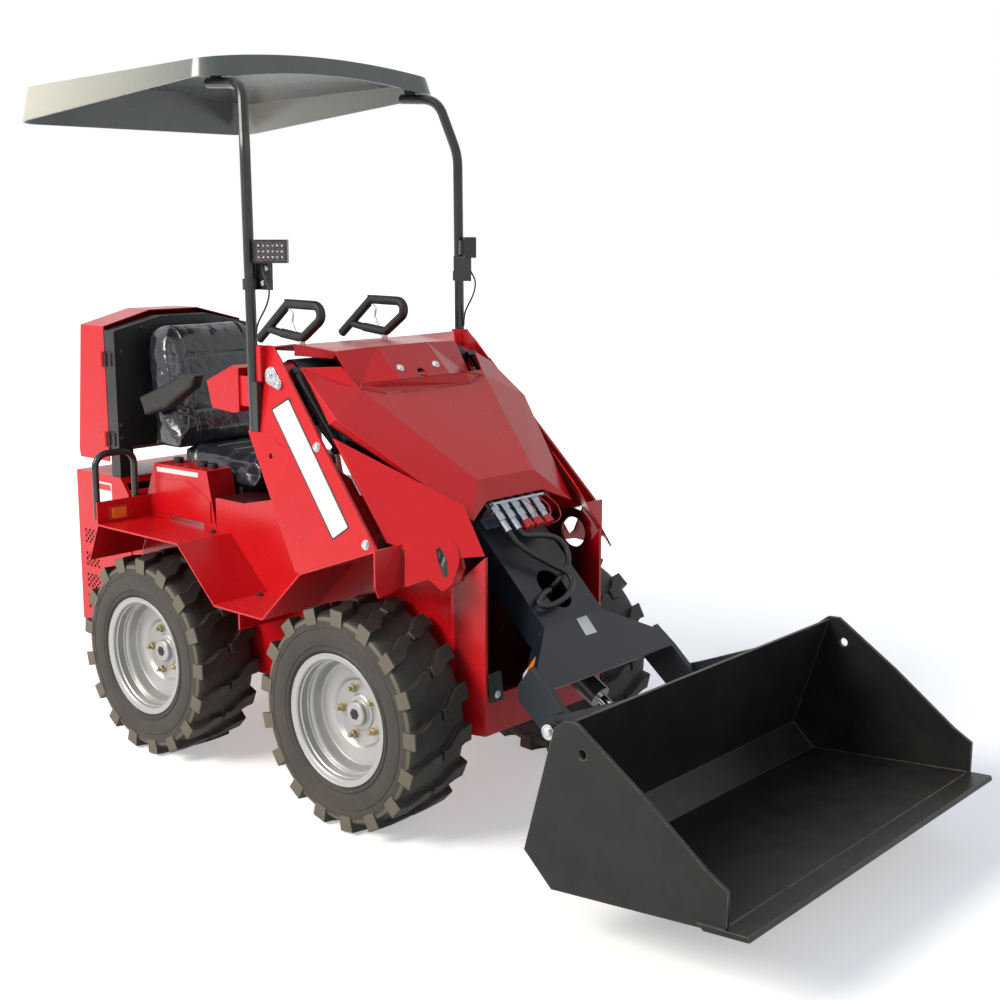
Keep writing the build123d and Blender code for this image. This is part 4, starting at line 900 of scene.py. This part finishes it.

# Vents: four perforated panels low on each side of the housing, punched sheet in red over black painted shade
# in the pockets. Every other cell of the grid has a broad web, so that the holes stand in a checkerboard.
cell_tree, cell_in = named_tree(
    "punched_sheet",
    [
        ("Columns", "Int"), ("Rows", "Int"), ("Cell Width", "Float"), ("Cell Height", "Float"),
        ("Every", "Int"), ("Start", "Int"),
    ],
)
cell_span = [
    math_step(cell_tree, "MULTIPLY", math_step(cell_tree, "SUBTRACT", cell_in[count], 1.0), cell_in[size])
    for count, size in (("Columns", "Cell Width"), ("Rows", "Cell Height"))
]
cell_grid = tree_step(
    cell_tree, "GeometryNodeMeshGrid",
    [
        ("Size X", cell_span[0]), ("Size Y", cell_span[1]), ("Vertices X", cell_in["Columns"]),
        ("Vertices Y", cell_in["Rows"]),
    ],
)
cell_count = math_step(cell_tree, "ADD", tree_step(cell_tree, "GeometryNodeInputIndex"), cell_in["Start"])
cell_rest = math_step(cell_tree, "MODULO", cell_count, cell_in["Every"])
cell_chosen = math_step(cell_tree, "LESS_THAN", cell_rest, 0.5)
cell_copies = tree_step(
    cell_tree, "GeometryNodeInstanceOnPoints",
    [("Points", cell_grid), ("Selection", cell_chosen), ("Instance", cell_in["Geometry"])],
)
tree_end(cell_tree, cell_in, cell_copies)
cell_width = 0.0104
cell_height = 0.0092
sheet_thickness = 0.0009


def ring_cell(web):
    """One cell of punched sheet: a square ring with a web of the given width."""
    outer = [(x * cell_width / 2, y * cell_height / 2) for x, y in ((-1, -1), (1, -1), (1, 1), (-1, 1))]
    inner = [(x - math.copysign(web, x), y - math.copysign(web, y)) for x, y in outer]
    levels = ((outer, 0), (outer, sheet_thickness), (inner, sheet_thickness), (inner, 0))
    return lofted("cell", [[(x, y, z) for x, y in ring] for ring, z in levels], True)


vent_sheet = []
for start, web in ((0, 0.0006), (1, 0.0042)):
    vent_sizes = {
        "Columns": 7, "Rows": 5, "Cell Width": cell_width, "Cell Height": cell_height, "Every": 2,
        "Start": start,
    }
    vent_sheet.append(grown_mesh(new_object("cells", ring_cell(web)), cell_tree, vent_sizes))
punched = joined("punched_sheet", vent_sheet)
vent_x = -0.9635
vent_heights = (0.521, 0.446, 0.376, 0.306)
for side, side_name in both_sides:
    upright = Matrix.Rotation(math.pi / 2, 4, "X")
    if side > 0:
        upright = Matrix.Rotation(math.pi, 4, "Z") @ upright
    panels = []
    for vent_z in vent_heights:
        panel = punched.copy()
        panel.transform(Matrix.Translation((vent_x, side * 0.2568, vent_z)) @ upright)
        panels.append(panel)
    placed("vent_panels_" + side_name, joined("punched_vents", panels), "chassis", red_paint)
# The black sheets in the pockets behind the vents are painted shade for the dark inside of each pocket.
for index, z in enumerate(vent_heights):
    corners = side_sheet(0.2541, vent_x - 0.036, vent_x + 0.036, z - 0.0225, z + 0.0225)
    plate_pair("vent_shadow_%s_" + str(index), corners, aside, 0.0004, 0.001, black_print_and_painted_shade, "chassis")

# Engine box: folded black steel under a red cover hinged on it. It stands on the rear housing, over one
# plain iron block that stands for the engine.
box_black = surface_finish(
    "black_box_paint", (0.012, 0.012, 0.013), 0.42, coat=0.05, shine=0.35, relief=(500.0, 0.2, 0.00012),
    edge=(0.0015, 0.5), edge_colour=(0.11, 0.11, 0.11), dust=0.10, dust_reach=1.5,
)
iron_grey = surface_finish(
    "engine_iron", (0.16, 0.16, 0.17), 0.55, metal=0.5, relief=(160.0, 0.2, 0.0004), edge=(0.002, 0.4),
    edge_colour=(0.35, 0.34, 0.33), dust=0.2, dust_reach=1.2,
)
finished([nodes["engine_box"], nodes["seat_base"]], box_black)
finished([nodes["engine_block"]], iron_grey)

# Boom, hitch and bucket: welded plate in satin black with a blue cast, rubbed pale along its edges and
# dusty inside the bucket.
boom_black = surface_finish(
    "boom_satin_black", (0.008, 0.012, 0.020), 0.36, shade=0.7, relief=(260.0, 0.35, 0.00022),
    edge=(0.0020, 0.55), edge_colour=(0.11, 0.12, 0.14), dust=0.05, dust_colour=(0.10, 0.10, 0.10),
    dust_reach=0.9, shine=0.35,
)
bucket_black = surface_finish(
    "bucket_worn_black", (0.008, 0.009, 0.010), 0.40, shade=0.6, relief=(190.0, 0.45, 0.00035),
    edge=(0.0030, 0.50), edge_colour=(0.26, 0.20, 0.13), dust=0.22, dust_colour=(0.070, 0.062, 0.046),
    dust_reach=0.6, shine=0.30,
)
finished([nodes["boom_arm"], nodes["hitch_frame"], nodes["lift_cylinder_stand"]], boom_black)
finished([nodes["bucket"]], bucket_black)

# Cylinders: black painted barrels, hard chromed rods, and the row of quick couplers on the boom, two of
# them bare steel for the hoses and three in bluish zinc under red caps.
barrel_black = surface_finish(
    "cylinder_black", (0.016, 0.016, 0.018), 0.28, coat=0.4, edge=(0.0012, 0.5),
    edge_colour=(0.12, 0.12, 0.12), dust=0.12, dust_reach=0.9,
)
rod_chrome = surface_finish("hard_chrome", (0.78, 0.79, 0.80), 0.10, metal=1.0, relief=(900.0, 0.0, 0.00001))
coupler_zinc = surface_finish(
    "coupler_zinc", (0.40, 0.44, 0.50), 0.30, metal=1.0, shade=0.7, edge=(0.0008, 0.4),
    edge_colour=(0.85, 0.86, 0.88),
)
finished([nodes["lift_cylinder_barrel"], nodes["tilt_cylinder_barrel"]], barrel_black)
finished([nodes["lift_cylinder_rod"], nodes["tilt_cylinder_rod"]], rod_chrome)
finished([nodes["couplers"]], coupler_zinc)

# Canopy: one moulded grey plastic roof with a turned-down rim, its side faces painted pale cream towards the
# rear as painted sunlight, bolted to two bent black tubes.
roof_grey = surface_finish(
    "roof_moulding_grey", (0.075, 0.090, 0.088), 0.24, coat=0.30, shade=0.8, relief=(150.0, 0.5, 0.0004),
    edge=(0.004, 0.8), edge_colour=(0.20, 0.22, 0.22), dust=0.20, dust_colour=(0.20, 0.20, 0.18),
    dust_reach=3.0,
)
tube_black = surface_finish(
    "tube_satin_black", (0.008, 0.011, 0.012), 0.25, coat=0.2, shine=0.4, edge=(0.0012, 0.5),
    edge_colour=(0.10, 0.10, 0.10), dust=0.06, dust_reach=2.0,
)
roof_tree = roof_grey.node_tree
roof_ways = tree_step(
    roof_tree, "ShaderNodeSeparateXYZ", [(0, tree_step(roof_tree, "ShaderNodeNewGeometry").outputs["Normal"])]
)
# Painted sunlight: faces turned to the sides take a pale cream colour, more of it towards the rear.
roof_painted_light_sides = ramp_step(roof_tree, math_step(roof_tree, "ABSOLUTE", roof_ways.outputs["Y"]), 0.60, 0.90)
roof_painted_light_rearward = ramp_step(roof_tree, own_axes(roof_tree)["X"], -0.10, -0.95, 0.10, 0.85)
tinted(roof_grey, math_step(roof_tree, "MULTIPLY", roof_painted_light_sides, roof_painted_light_rearward), (0.50, 0.49, 0.42))
finished([nodes["canopy_roof"]], roof_grey)

# Bent tubes: the grab loops and the control handles are round tube bent cold, and the canopy's posts
# have the same black finish. Each corner keeps its own bend radius.
tube_tree, tube_in = named_tree("bent_tube", [("Tube Radius", "Float"), ("Sides", "Int")])
tube_bend = tree_step(tube_tree, "GeometryNodeInputRadius")
tube_path = tree_step(
    tube_tree, "GeometryNodeFilletCurve",
    [("Curve", tube_in["Geometry"]), ("Radius", tube_bend), ("Count", 10)], mode="POLY",
)
tree_end(tube_tree, tube_in, swept(tube_tree, tube_path, tube_in["Tube Radius"], tube_in["Sides"]))


def bent_tube(points, bends, radius, sides=24):
    """Mesh of a tube along corner points in millimetres, each corner with its own bend radius."""
    data = bpy.data.curves.new("tube_line", "CURVE")
    data.dimensions = "3D"
    spline = data.splines.new("POLY")
    spline.points.add(len(points) - 1)
    for spot, (x, y, z), bend in zip(spline.points, points, bends):
        spot.co = (x / 1000, y / 1000, z / 1000, 1)
        spot.radius = max(bend, 0.01) / 1000
    mesh = grown_mesh(
        new_object("tube_line", data), tube_tree, {"Tube Radius": radius / 1000, "Sides": sides}
    )
    smooth_below(mesh, 40)
    return mesh


def turned_out(meshes, side):
    """One mesh from meshes of the left side, carried over to the right side where that is asked."""
    whole = joined("pair", meshes)
    if side < 0:
        whole.transform(Matrix.Scale(-1, 4, (0, 1, 0)))
        whole.flip_normals()
    return whole


loop_points = [(-655.5, 430, 645.5), (-655.5, 430, 836), (-655.5, 297, 836), (-655.5, 297, 645.5)]
for side, side_name in both_sides:
    loop = turned_out([bent_tube(loop_points, (0, 40, 40, 0), 10)], side)
    smooth_below(loop, 40)
    piece = placed("grab_loop_" + side_name, loop, "chassis", tube_black)
    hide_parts("grab_loops")
finished([nodes["canopy_posts"]], tube_black)

# Control handles: foam grips over bent tube, one on each tower. A thin plated lever stands inside each
# grip in a short sleeve.
grip_foam = surface_finish(
    "black_grip_foam", (0.008, 0.008, 0.008), 0.50, shine=0.35, relief=(520.0, 0.25, 0.0003),
    edge=(0.002, 0.6), dust=0.06, dust_reach=2.5,
)
grip_points = [(-226, 155, 1178), (-98, 155, 1281), (86, 155, 1279), (-40, 155, 1191), (-128, 155, 1200)]
lever_points = [(-103, 155, 1270), (-78, 155, 1258), (-84, 155, 1232), (-62, 155, 1193)]
for side, side_name in both_sides:
    grip = turned_out(
        [
            bent_tube(grip_points, (0, 24, 24, 24, 0), 13),
            bent_tube([(-186, 155, 1209), (-120, 155, 1198)], (0, 0), 11),
            bent_tube([(-106, 155, 1272), (-104, 155, 1293)], (0, 0), 7),
        ],
        side,
    )
    smooth_below(grip, 40)
    piece = placed("handle_grip_" + side_name, grip, "chassis", grip_foam)
    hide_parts("control_handles")
    lever = turned_out(
        [
            bent_tube([(-45, 155, 1200), (-45, 155, 1172.8)], (0, 0), 9),
            bent_tube(lever_points, (0, 9, 14, 0), 3.2, 12),
        ],
        side,
    )
    smooth_below(lever, 40)
    placed("handle_lever_" + side_name, lever, "chassis", zinc_plate)

# Seat: foam pads under dark blue-black vinyl, glossy and creased, sewn with bolsters at the sides. The
# pads are blown up from a smaller shape as cloth, and the seams are pressed in afterwards.
vinyl = surface_finish(
    "seat_vinyl", (0.012, 0.015, 0.026), 0.22, coat=0.50, shade=0.7, relief=(26.0, 0.15, 0.0075),
    edge=(0.001, 0.5), dust=0.04, dust_reach=2.0,
)
pad_pressure = 4.0
pad_frames = 20


def prism(half_width, middle_y, section, inset):
    """Closed block of a side outline in millimetres, pulled in all round."""
    middle = sum((Vector(corner) for corner in section), Vector((0, 0))) / len(section)
    rings = []
    for y in (middle_y - half_width + inset, middle_y + half_width - inset):
        ring = []
        for x, z in section:
            way = (middle - Vector((x, z))).normalized() * inset
            ring.append(((x + way.x) / 1000, y / 1000, (z + way.y) / 1000))
        rings.append(ring)
    return lofted("prism", rings)


def blown_up(mesh, voxel, cap, pinned):
    """Pad that swells under pressure; pinned(place) tells which points stay, cap how far the rest move."""
    pad = new_object("pad", mesh)
    grain = pad.modifiers.new("remesh", "REMESH")
    grain.mode = "VOXEL"
    grain.voxel_size = voxel
    fine = mesh_of(pad)
    bpy.data.objects.remove(pad)
    places = [vertex.co.copy() for vertex in fine.vertices]
    pad = new_object("pad", fine)
    held = pad.vertex_groups.new(name="held")
    held.add([vertex.index for vertex in fine.vertices if pinned(vertex.co)], 1.0, "REPLACE")
    cloth = pad.modifiers.new("cloth", "CLOTH")
    cloth.settings.use_pressure = True
    cloth.settings.uniform_pressure_force = pad_pressure
    cloth.settings.effector_weights.gravity = 0.0
    cloth.settings.vertex_group_mass = "held"
    cloth.settings.quality = 4
    cloth.point_cache.frame_start = 1
    cloth.point_cache.frame_end = pad_frames
    for frame_number in range(1, pad_frames + 1):
        bpy.context.scene.frame_set(frame_number)
    swollen = pad.evaluated_get(bpy.context.evaluated_depsgraph_get()).data
    for vertex, place in zip(swollen.vertices, places):
        move = vertex.co - place
        place += move * (cap / max(move.length, cap))
    bpy.context.scene.frame_set(1)
    bpy.data.objects.remove(pad)
    for vertex, place in zip(fine.vertices, places):
        vertex.co = place
    shape = bmesh.new()
    shape.from_mesh(fine)
    for _ in range(3):
        bmesh.ops.smooth_vert(
            shape, verts=shape.verts, factor=0.5, use_axis_x=True, use_axis_y=True, use_axis_z=True
        )
    shape.to_mesh(fine)
    shape.free()
    return fine


def subdivided(mesh):
    """Mesh with each face divided once and rounded."""
    source = new_object("fine_pad", mesh)
    finer = source.modifiers.new("finer", "SUBSURF")
    finer.levels = 1
    finer.render_levels = 1
    fine = mesh_of(source)
    bpy.data.objects.remove(source)
    return fine


def pressed(mesh, depth_at):
    """Seams: points pushed inwards by the depth that a rule gives for their place and facing."""
    normals = [vertex.normal.copy() for vertex in mesh.vertices]
    for vertex, normal in zip(mesh.vertices, normals):
        depth = depth_at(vertex.co, normal)
        if depth:
            vertex.co = vertex.co - normal * depth
    mesh.polygons.foreach_set("use_smooth", [True] * len(mesh.polygons))


def groove(distance, width, depth):
    """Depth across a seam: a rounded valley."""
    return depth * math.exp(-((distance / width) ** 2))


cushion_outline = [
    (-612, 742.3), (-275, 742.3), (-240, 775), (-238, 805), (-262, 824), (-575, 836), (-612, 830)
]
cushion_block = prism(158, 0, cushion_outline, 6.0)
cushion_mesh = subdivided(blown_up(cushion_block, 0.006, 0.010, lambda place: place.z < 0.752))
cushion_bolster = 0.105


def cushion_seams(place, normal):
    """Piping round the sides, one seam along each bolster and three across the middle."""
    if normal.z < 0.3:
        return groove(place.z - 0.786, 0.0022, 0.0022) if abs(normal.z) < 0.7 else 0.0
    depth = groove(abs(place.y) - cushion_bolster, 0.0035, 0.005)
    if abs(place.y) < cushion_bolster:
        for seam_x in (-0.345, -0.425, -0.505):
            depth = max(depth, groove(place.x - seam_x, 0.0040, 0.005))
    return depth


pressed(cushion_mesh, cushion_seams)
cushion = placed("seat_pad", cushion_mesh, "chassis", vinyl)
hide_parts("seat_cushion")

back_outline = [
    (-700, 829.0), (-575, 829.0), (-566, 860), (-662, 1190), (-690, 1208), (-728, 1204), (-745, 1188)
]
back_block = prism(195, 0, back_outline, 6.0)
back_mesh = subdivided(blown_up(back_block, 0.006, 0.010, lambda place: place.z < 0.842))
for vertex in back_mesh.vertices:
    rise = min(max((vertex.co.z - 1.040) / 0.170, 0.0), 1.0)
    vertex.co.y *= 1 - 0.05 * rise - 0.38 * rise ** 4
back_slope = Vector((0.960, 0.0, 0.280))
back_bolster = 0.118


def back_seams(place, normal):
    """One seam along each bolster and two across the middle, on the face towards the driver."""
    if normal.dot(back_slope) < 0.4:
        return groove(normal.dot(back_slope), 0.05, 0.0015)
    depth = groove(abs(place.y) - back_bolster, 0.0035, 0.006)
    if abs(place.y) < back_bolster:
        for seam_z in (0.945, 1.105):
            depth = max(depth, groove(place.z - seam_z, 0.0040, 0.004))
    return depth


pressed(back_mesh, back_seams)
back = placed("seat_back_pad", back_mesh, "chassis", vinyl)
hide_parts("seat_back")

# Armrests: moulded black foam pads on the sides of the seat back, each on one pivot bolt. They swell
# less than the seat's pads.
arm_outline = [(-693, 986), (-474, 1071), (-408, 1072), (-425, 1034), (-545, 960), (-667, 931)]
arm_mesh = blown_up(prism(23, 227, arm_outline, 3.0), 0.004, 0.004, lambda place: False)
for side, side_name in both_sides:
    mesh = turned_out([arm_mesh], side)
    mesh.polygons.foreach_set("use_smooth", [True] * len(mesh.polygons))
    arm = placed("arm_pad_" + side_name, mesh, "chassis", grip_foam)
    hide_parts("armrests")

# Work lamps: black housings on brackets, each with a red-tinted reflector, rows of small diodes in pale
# cups and a clear lens. The switches on the seat's consoles are black knobs.
lamp_black = surface_finish(
    "lamp_housing_black", (0.012, 0.012, 0.013), 0.38, coat=0.1, shine=0.4, edge=(0.001, 0.5),
    edge_colour=(0.12, 0.12, 0.12),
)
finished([nodes["work_lamps"]], lamp_black)
reflector_red = surface_finish(
    "red_tinted_reflector", (0.34, 0.05, 0.07), 0.18, metal=0.9, relief=(120.0, 0.0, 0.0006)
)
diode_cup = surface_finish(
    "diode_cup", (0.78, 0.74, 0.70), 0.22, metal=0.4, coat=0.6, relief=(300.0, 0.0, 0.0002)
)
lens_clear = bpy.data.materials.new("clear_lens")
lens_clear.use_nodes = True
lens_skin = lens_clear.node_tree.nodes["Principled BSDF"].inputs
lens_skin["Base Color"].default_value = (1.0, 0.93, 0.92, 1)
lens_skin["Roughness"].default_value = 0.03
lens_skin["Transmission Weight"].default_value = 1.0
lens_skin["IOR"].default_value = 1.45
lens_relief = group_step(lens_clear.node_tree, relief_group, {"Scale": 240.0, "Coarse Share": 0.0})
lens_bump = tree_step(lens_clear.node_tree, "ShaderNodeBump", [("Height", lens_relief), ("Distance", 0.0002)])
lens_clear.node_tree.links.new(lens_bump.outputs[0], lens_skin["Normal"])
# One diode is a low dome in a square cup.
dome_outline = [(0.0034, 0.0), (0.0031, 0.0012), (0.0020, 0.0022), (0.0008, 0.0025)]
cup_outline = [(0.0052, 0.0), (0.0052, 0.0006), (0.0040, 0.0006), (0.0036, 0.0)]
diode_mesh = joined("diode", [turned("dome", dome_outline, 12), turned("cup", cup_outline, 4)])
diode_mesh.transform(Matrix.Rotation(math.pi / 2, 4, "X"))
diode_sizes = {"Columns": 6, "Rows": 3, "Cell Width": 0.0118, "Cell Height": 0.0145, "Every": 1, "Start": 0}
diodes = grown_mesh(new_object("diodes", diode_mesh), cell_tree, diode_sizes)
diodes.transform(Matrix.Rotation(math.pi / 2, 4, "Y") @ Matrix.Rotation(math.pi / 2, 4, "Z"))
lamp_turn = math.radians(48)
knob_outline = [(0.0160, 0.0), (0.0160, 0.0010), (0.0155, 0.0140), (0.0142, 0.0152), (0.0040, 0.0156)]
for side, side_name in both_sides:
    stand = Matrix.Translation((0.092, side * 0.366, 1.428)) @ Matrix.Rotation(side * lamp_turn, 4, "Z")
    face = stand.to_3x3() @ Vector(ahead)
    for name, x, half_width, half_height, thick, finish in (
        ("lamp_reflector_", 0.0112, 0.037, 0.024, 0.0006, reflector_red),
        ("lamp_lens_", 0.0152, 0.0375, 0.0245, 0.0014, lens_clear),
    ):
        sheet = face_sheet(x, -half_width, half_width, -half_height, half_height)
        corners = [stand @ Vector(spot) for spot in sheet]
        plate(name + side_name, corners, face, thick, 0.003, finish, "chassis")
    mesh = diodes.copy()
    mesh.transform(stand @ Matrix.Translation((0.0120, 0, 0)))
    smooth_below(mesh, 40)
    placed("lamp_diodes_" + side_name, mesh, "chassis", diode_cup)
    knobs = []
    for knob_x in (-0.560, -0.440, -0.395):
        knob = turned("knob", knob_outline, 20)
        knob.transform(
            Matrix.Translation((knob_x, side * 0.205, 0.7972)) @ Matrix.Rotation(math.pi / 2, 4, "X")
        )
        knobs.append(knob)
    mesh = joined("knobs", knobs)
    smooth_below(mesh, 35)
    placed("console_knobs_" + side_name, mesh, "chassis", lamp_black)

# Small fittings: plated hinges on the consoles' covers, a blank label across the boom just below its
# knee, and an orange one with a white foot on the boom's flare.
hinge_corners = side_sheet(0.2552, -0.542, -0.377, 0.634, 0.646)
plate_pair("console_hinge_%s", hinge_corners, aside, 0.0022, 0.001, zinc_plate, "chassis", "zinc_steel")
head_slope = math.radians(36.5)
knee = Vector((0.789, 0.0, 0.524))
head_way = Vector((math.cos(head_slope), 0, -math.sin(head_slope)))
head_up = Vector((-head_way.z, 0, head_way.x))


def on_head(s, y):
    """Place on the boom's wide head, s past the knee, in millimetres."""
    spot = knee + head_way * (s / 1000)
    return Vector((spot.x, y / 1000, spot.z)) + head_up * 0.0004


head_corners = [on_head(3, 45), on_head(3, 4), on_head(58, -10), on_head(58, 33)]
plate("boom_label", head_corners, head_up, 0.0005, 0.002, label_white, "boom")
flare_ahead = 0.632
flare_aside = 0.775
flare_way = Vector((flare_ahead * head_way.x, -flare_aside, flare_ahead * head_way.z))
flare_facing = Vector((-flare_aside * head_way.x, -flare_ahead, -flare_aside * head_way.z))
flare_start = knee + Vector((0, -0.115, 0)) + flare_facing * 0.0004


def on_flare(along, down):
    """Place on the near side face of the flare, along it and down from the head's top, in millimetres."""
    return flare_start + flare_way * (along / 1000) - head_up * (down / 1000)


flare_corners = [on_flare(84, 26), on_flare(116, 26), on_flare(116, 92), on_flare(84, 92)]
plate("flare_label", flare_corners, flare_facing, 0.0005, 0.002, label_orange, "boom")
foot_corners = [on_flare(86, 68), on_flare(114, 68), on_flare(114, 90), on_flare(86, 90)]
plate("flare_label_foot", foot_corners, flare_facing, 0.0008, 0.002, label_white, "boom")

# Hood lip: the folded upper edge of the hood, of the same red sheet. It stands in front of the dash
# panel's foot and turns with the boom.
lip_low = [
    (0.2705, -0.2345, 1.0830), (0.2895, -0.160, 1.0660), (0.2895, 0.160, 1.0660), (0.2705, 0.2345, 1.0830)
]
lip_high = [
    (0.2640, 0.2300, 1.0960), (0.2812, 0.150, 1.0970), (0.2812, -0.150, 1.0970), (0.2640, -0.2300, 1.0960)
]
plate("hood_lip", lip_low + lip_high, (0.965, 0, 0.262), 0.002, 0.004, red_paint, "boom", "red_paint")

# Tie-down plates: a rounded plate of red steel with a slot for a hook, welded on the face of each front cowl.
# The
# slot is not cut through: a thin black sheet over it is painted shade for the dark opening.
tie_outline = [
    (0.538, 0.344, 0.735), (0.559, 0.321, 0.742), (0.583, 0.292, 0.752), (0.610, 0.271, 0.750),
    (0.638, 0.264, 0.727), (0.654, 0.274, 0.696), (0.660, 0.308, 0.645), (0.649, 0.329, 0.630),
    (0.612, 0.339, 0.658), (0.576, 0.384, 0.639),
]
slot_shade_outline = [
    (0.598, 0.299, 0.726), (0.605, 0.292, 0.729), (0.629, 0.293, 0.700), (0.645, 0.307, 0.663),
    (0.639, 0.314, 0.661), (0.614, 0.309, 0.696),
]
tie_facing = Vector((0.5644, 0.6574, 0.4993))
tie_thickness = 0.004
slot_shade_corners = [Vector(spot) + tie_facing * tie_thickness for spot in slot_shade_outline]
plate_pair("tie_plate_%s", tie_outline, tie_facing, tie_thickness, 0.008, red_paint, "chassis", "red_paint")
# Painted shade: a black sheet over the slot stands for the dark opening.
plate_pair("tie_slot_%s", slot_shade_corners, tie_facing, 0.0003, 0.004, black_print_and_painted_shade, "chassis")

# Pins and brackets: plated pin heads at the bucket's pivot, the plated bolts of the lamp brackets, and
# a black plate with one bolt in the tub's front corner.
bolts("bucket_pin_heads", [((0.955, 0.3004, 0.345), aside)], (0.0110, 0.008, 0.0185), zinc_plate, "bucket")
bracket_rows = [((0.078, 0.3712, 1.386), aside), ((0.060, 0.3712, 1.347), aside)]
bolts("lamp_bracket_bolts", bracket_rows, (0.0055, 0.004, 0.0080), zinc_plate, "chassis")
plate(
    "tub_corner_plate",
    [(0.6953, -0.165, 0.334), (0.6953, -0.214, 0.334), (0.6953, -0.222, 0.408), (0.6953, -0.176, 0.412)],
    (1, 0, 0), 0.004, 0.006, black_steel, "chassis", "black_paint",
)
corner_row = [((0.6993, -0.190, 0.352), ahead)]
bolts("tub_corner_bolt", corner_row, (0.0065, 0.005, 0.0100), zinc_plate, "chassis", mirrored=False)
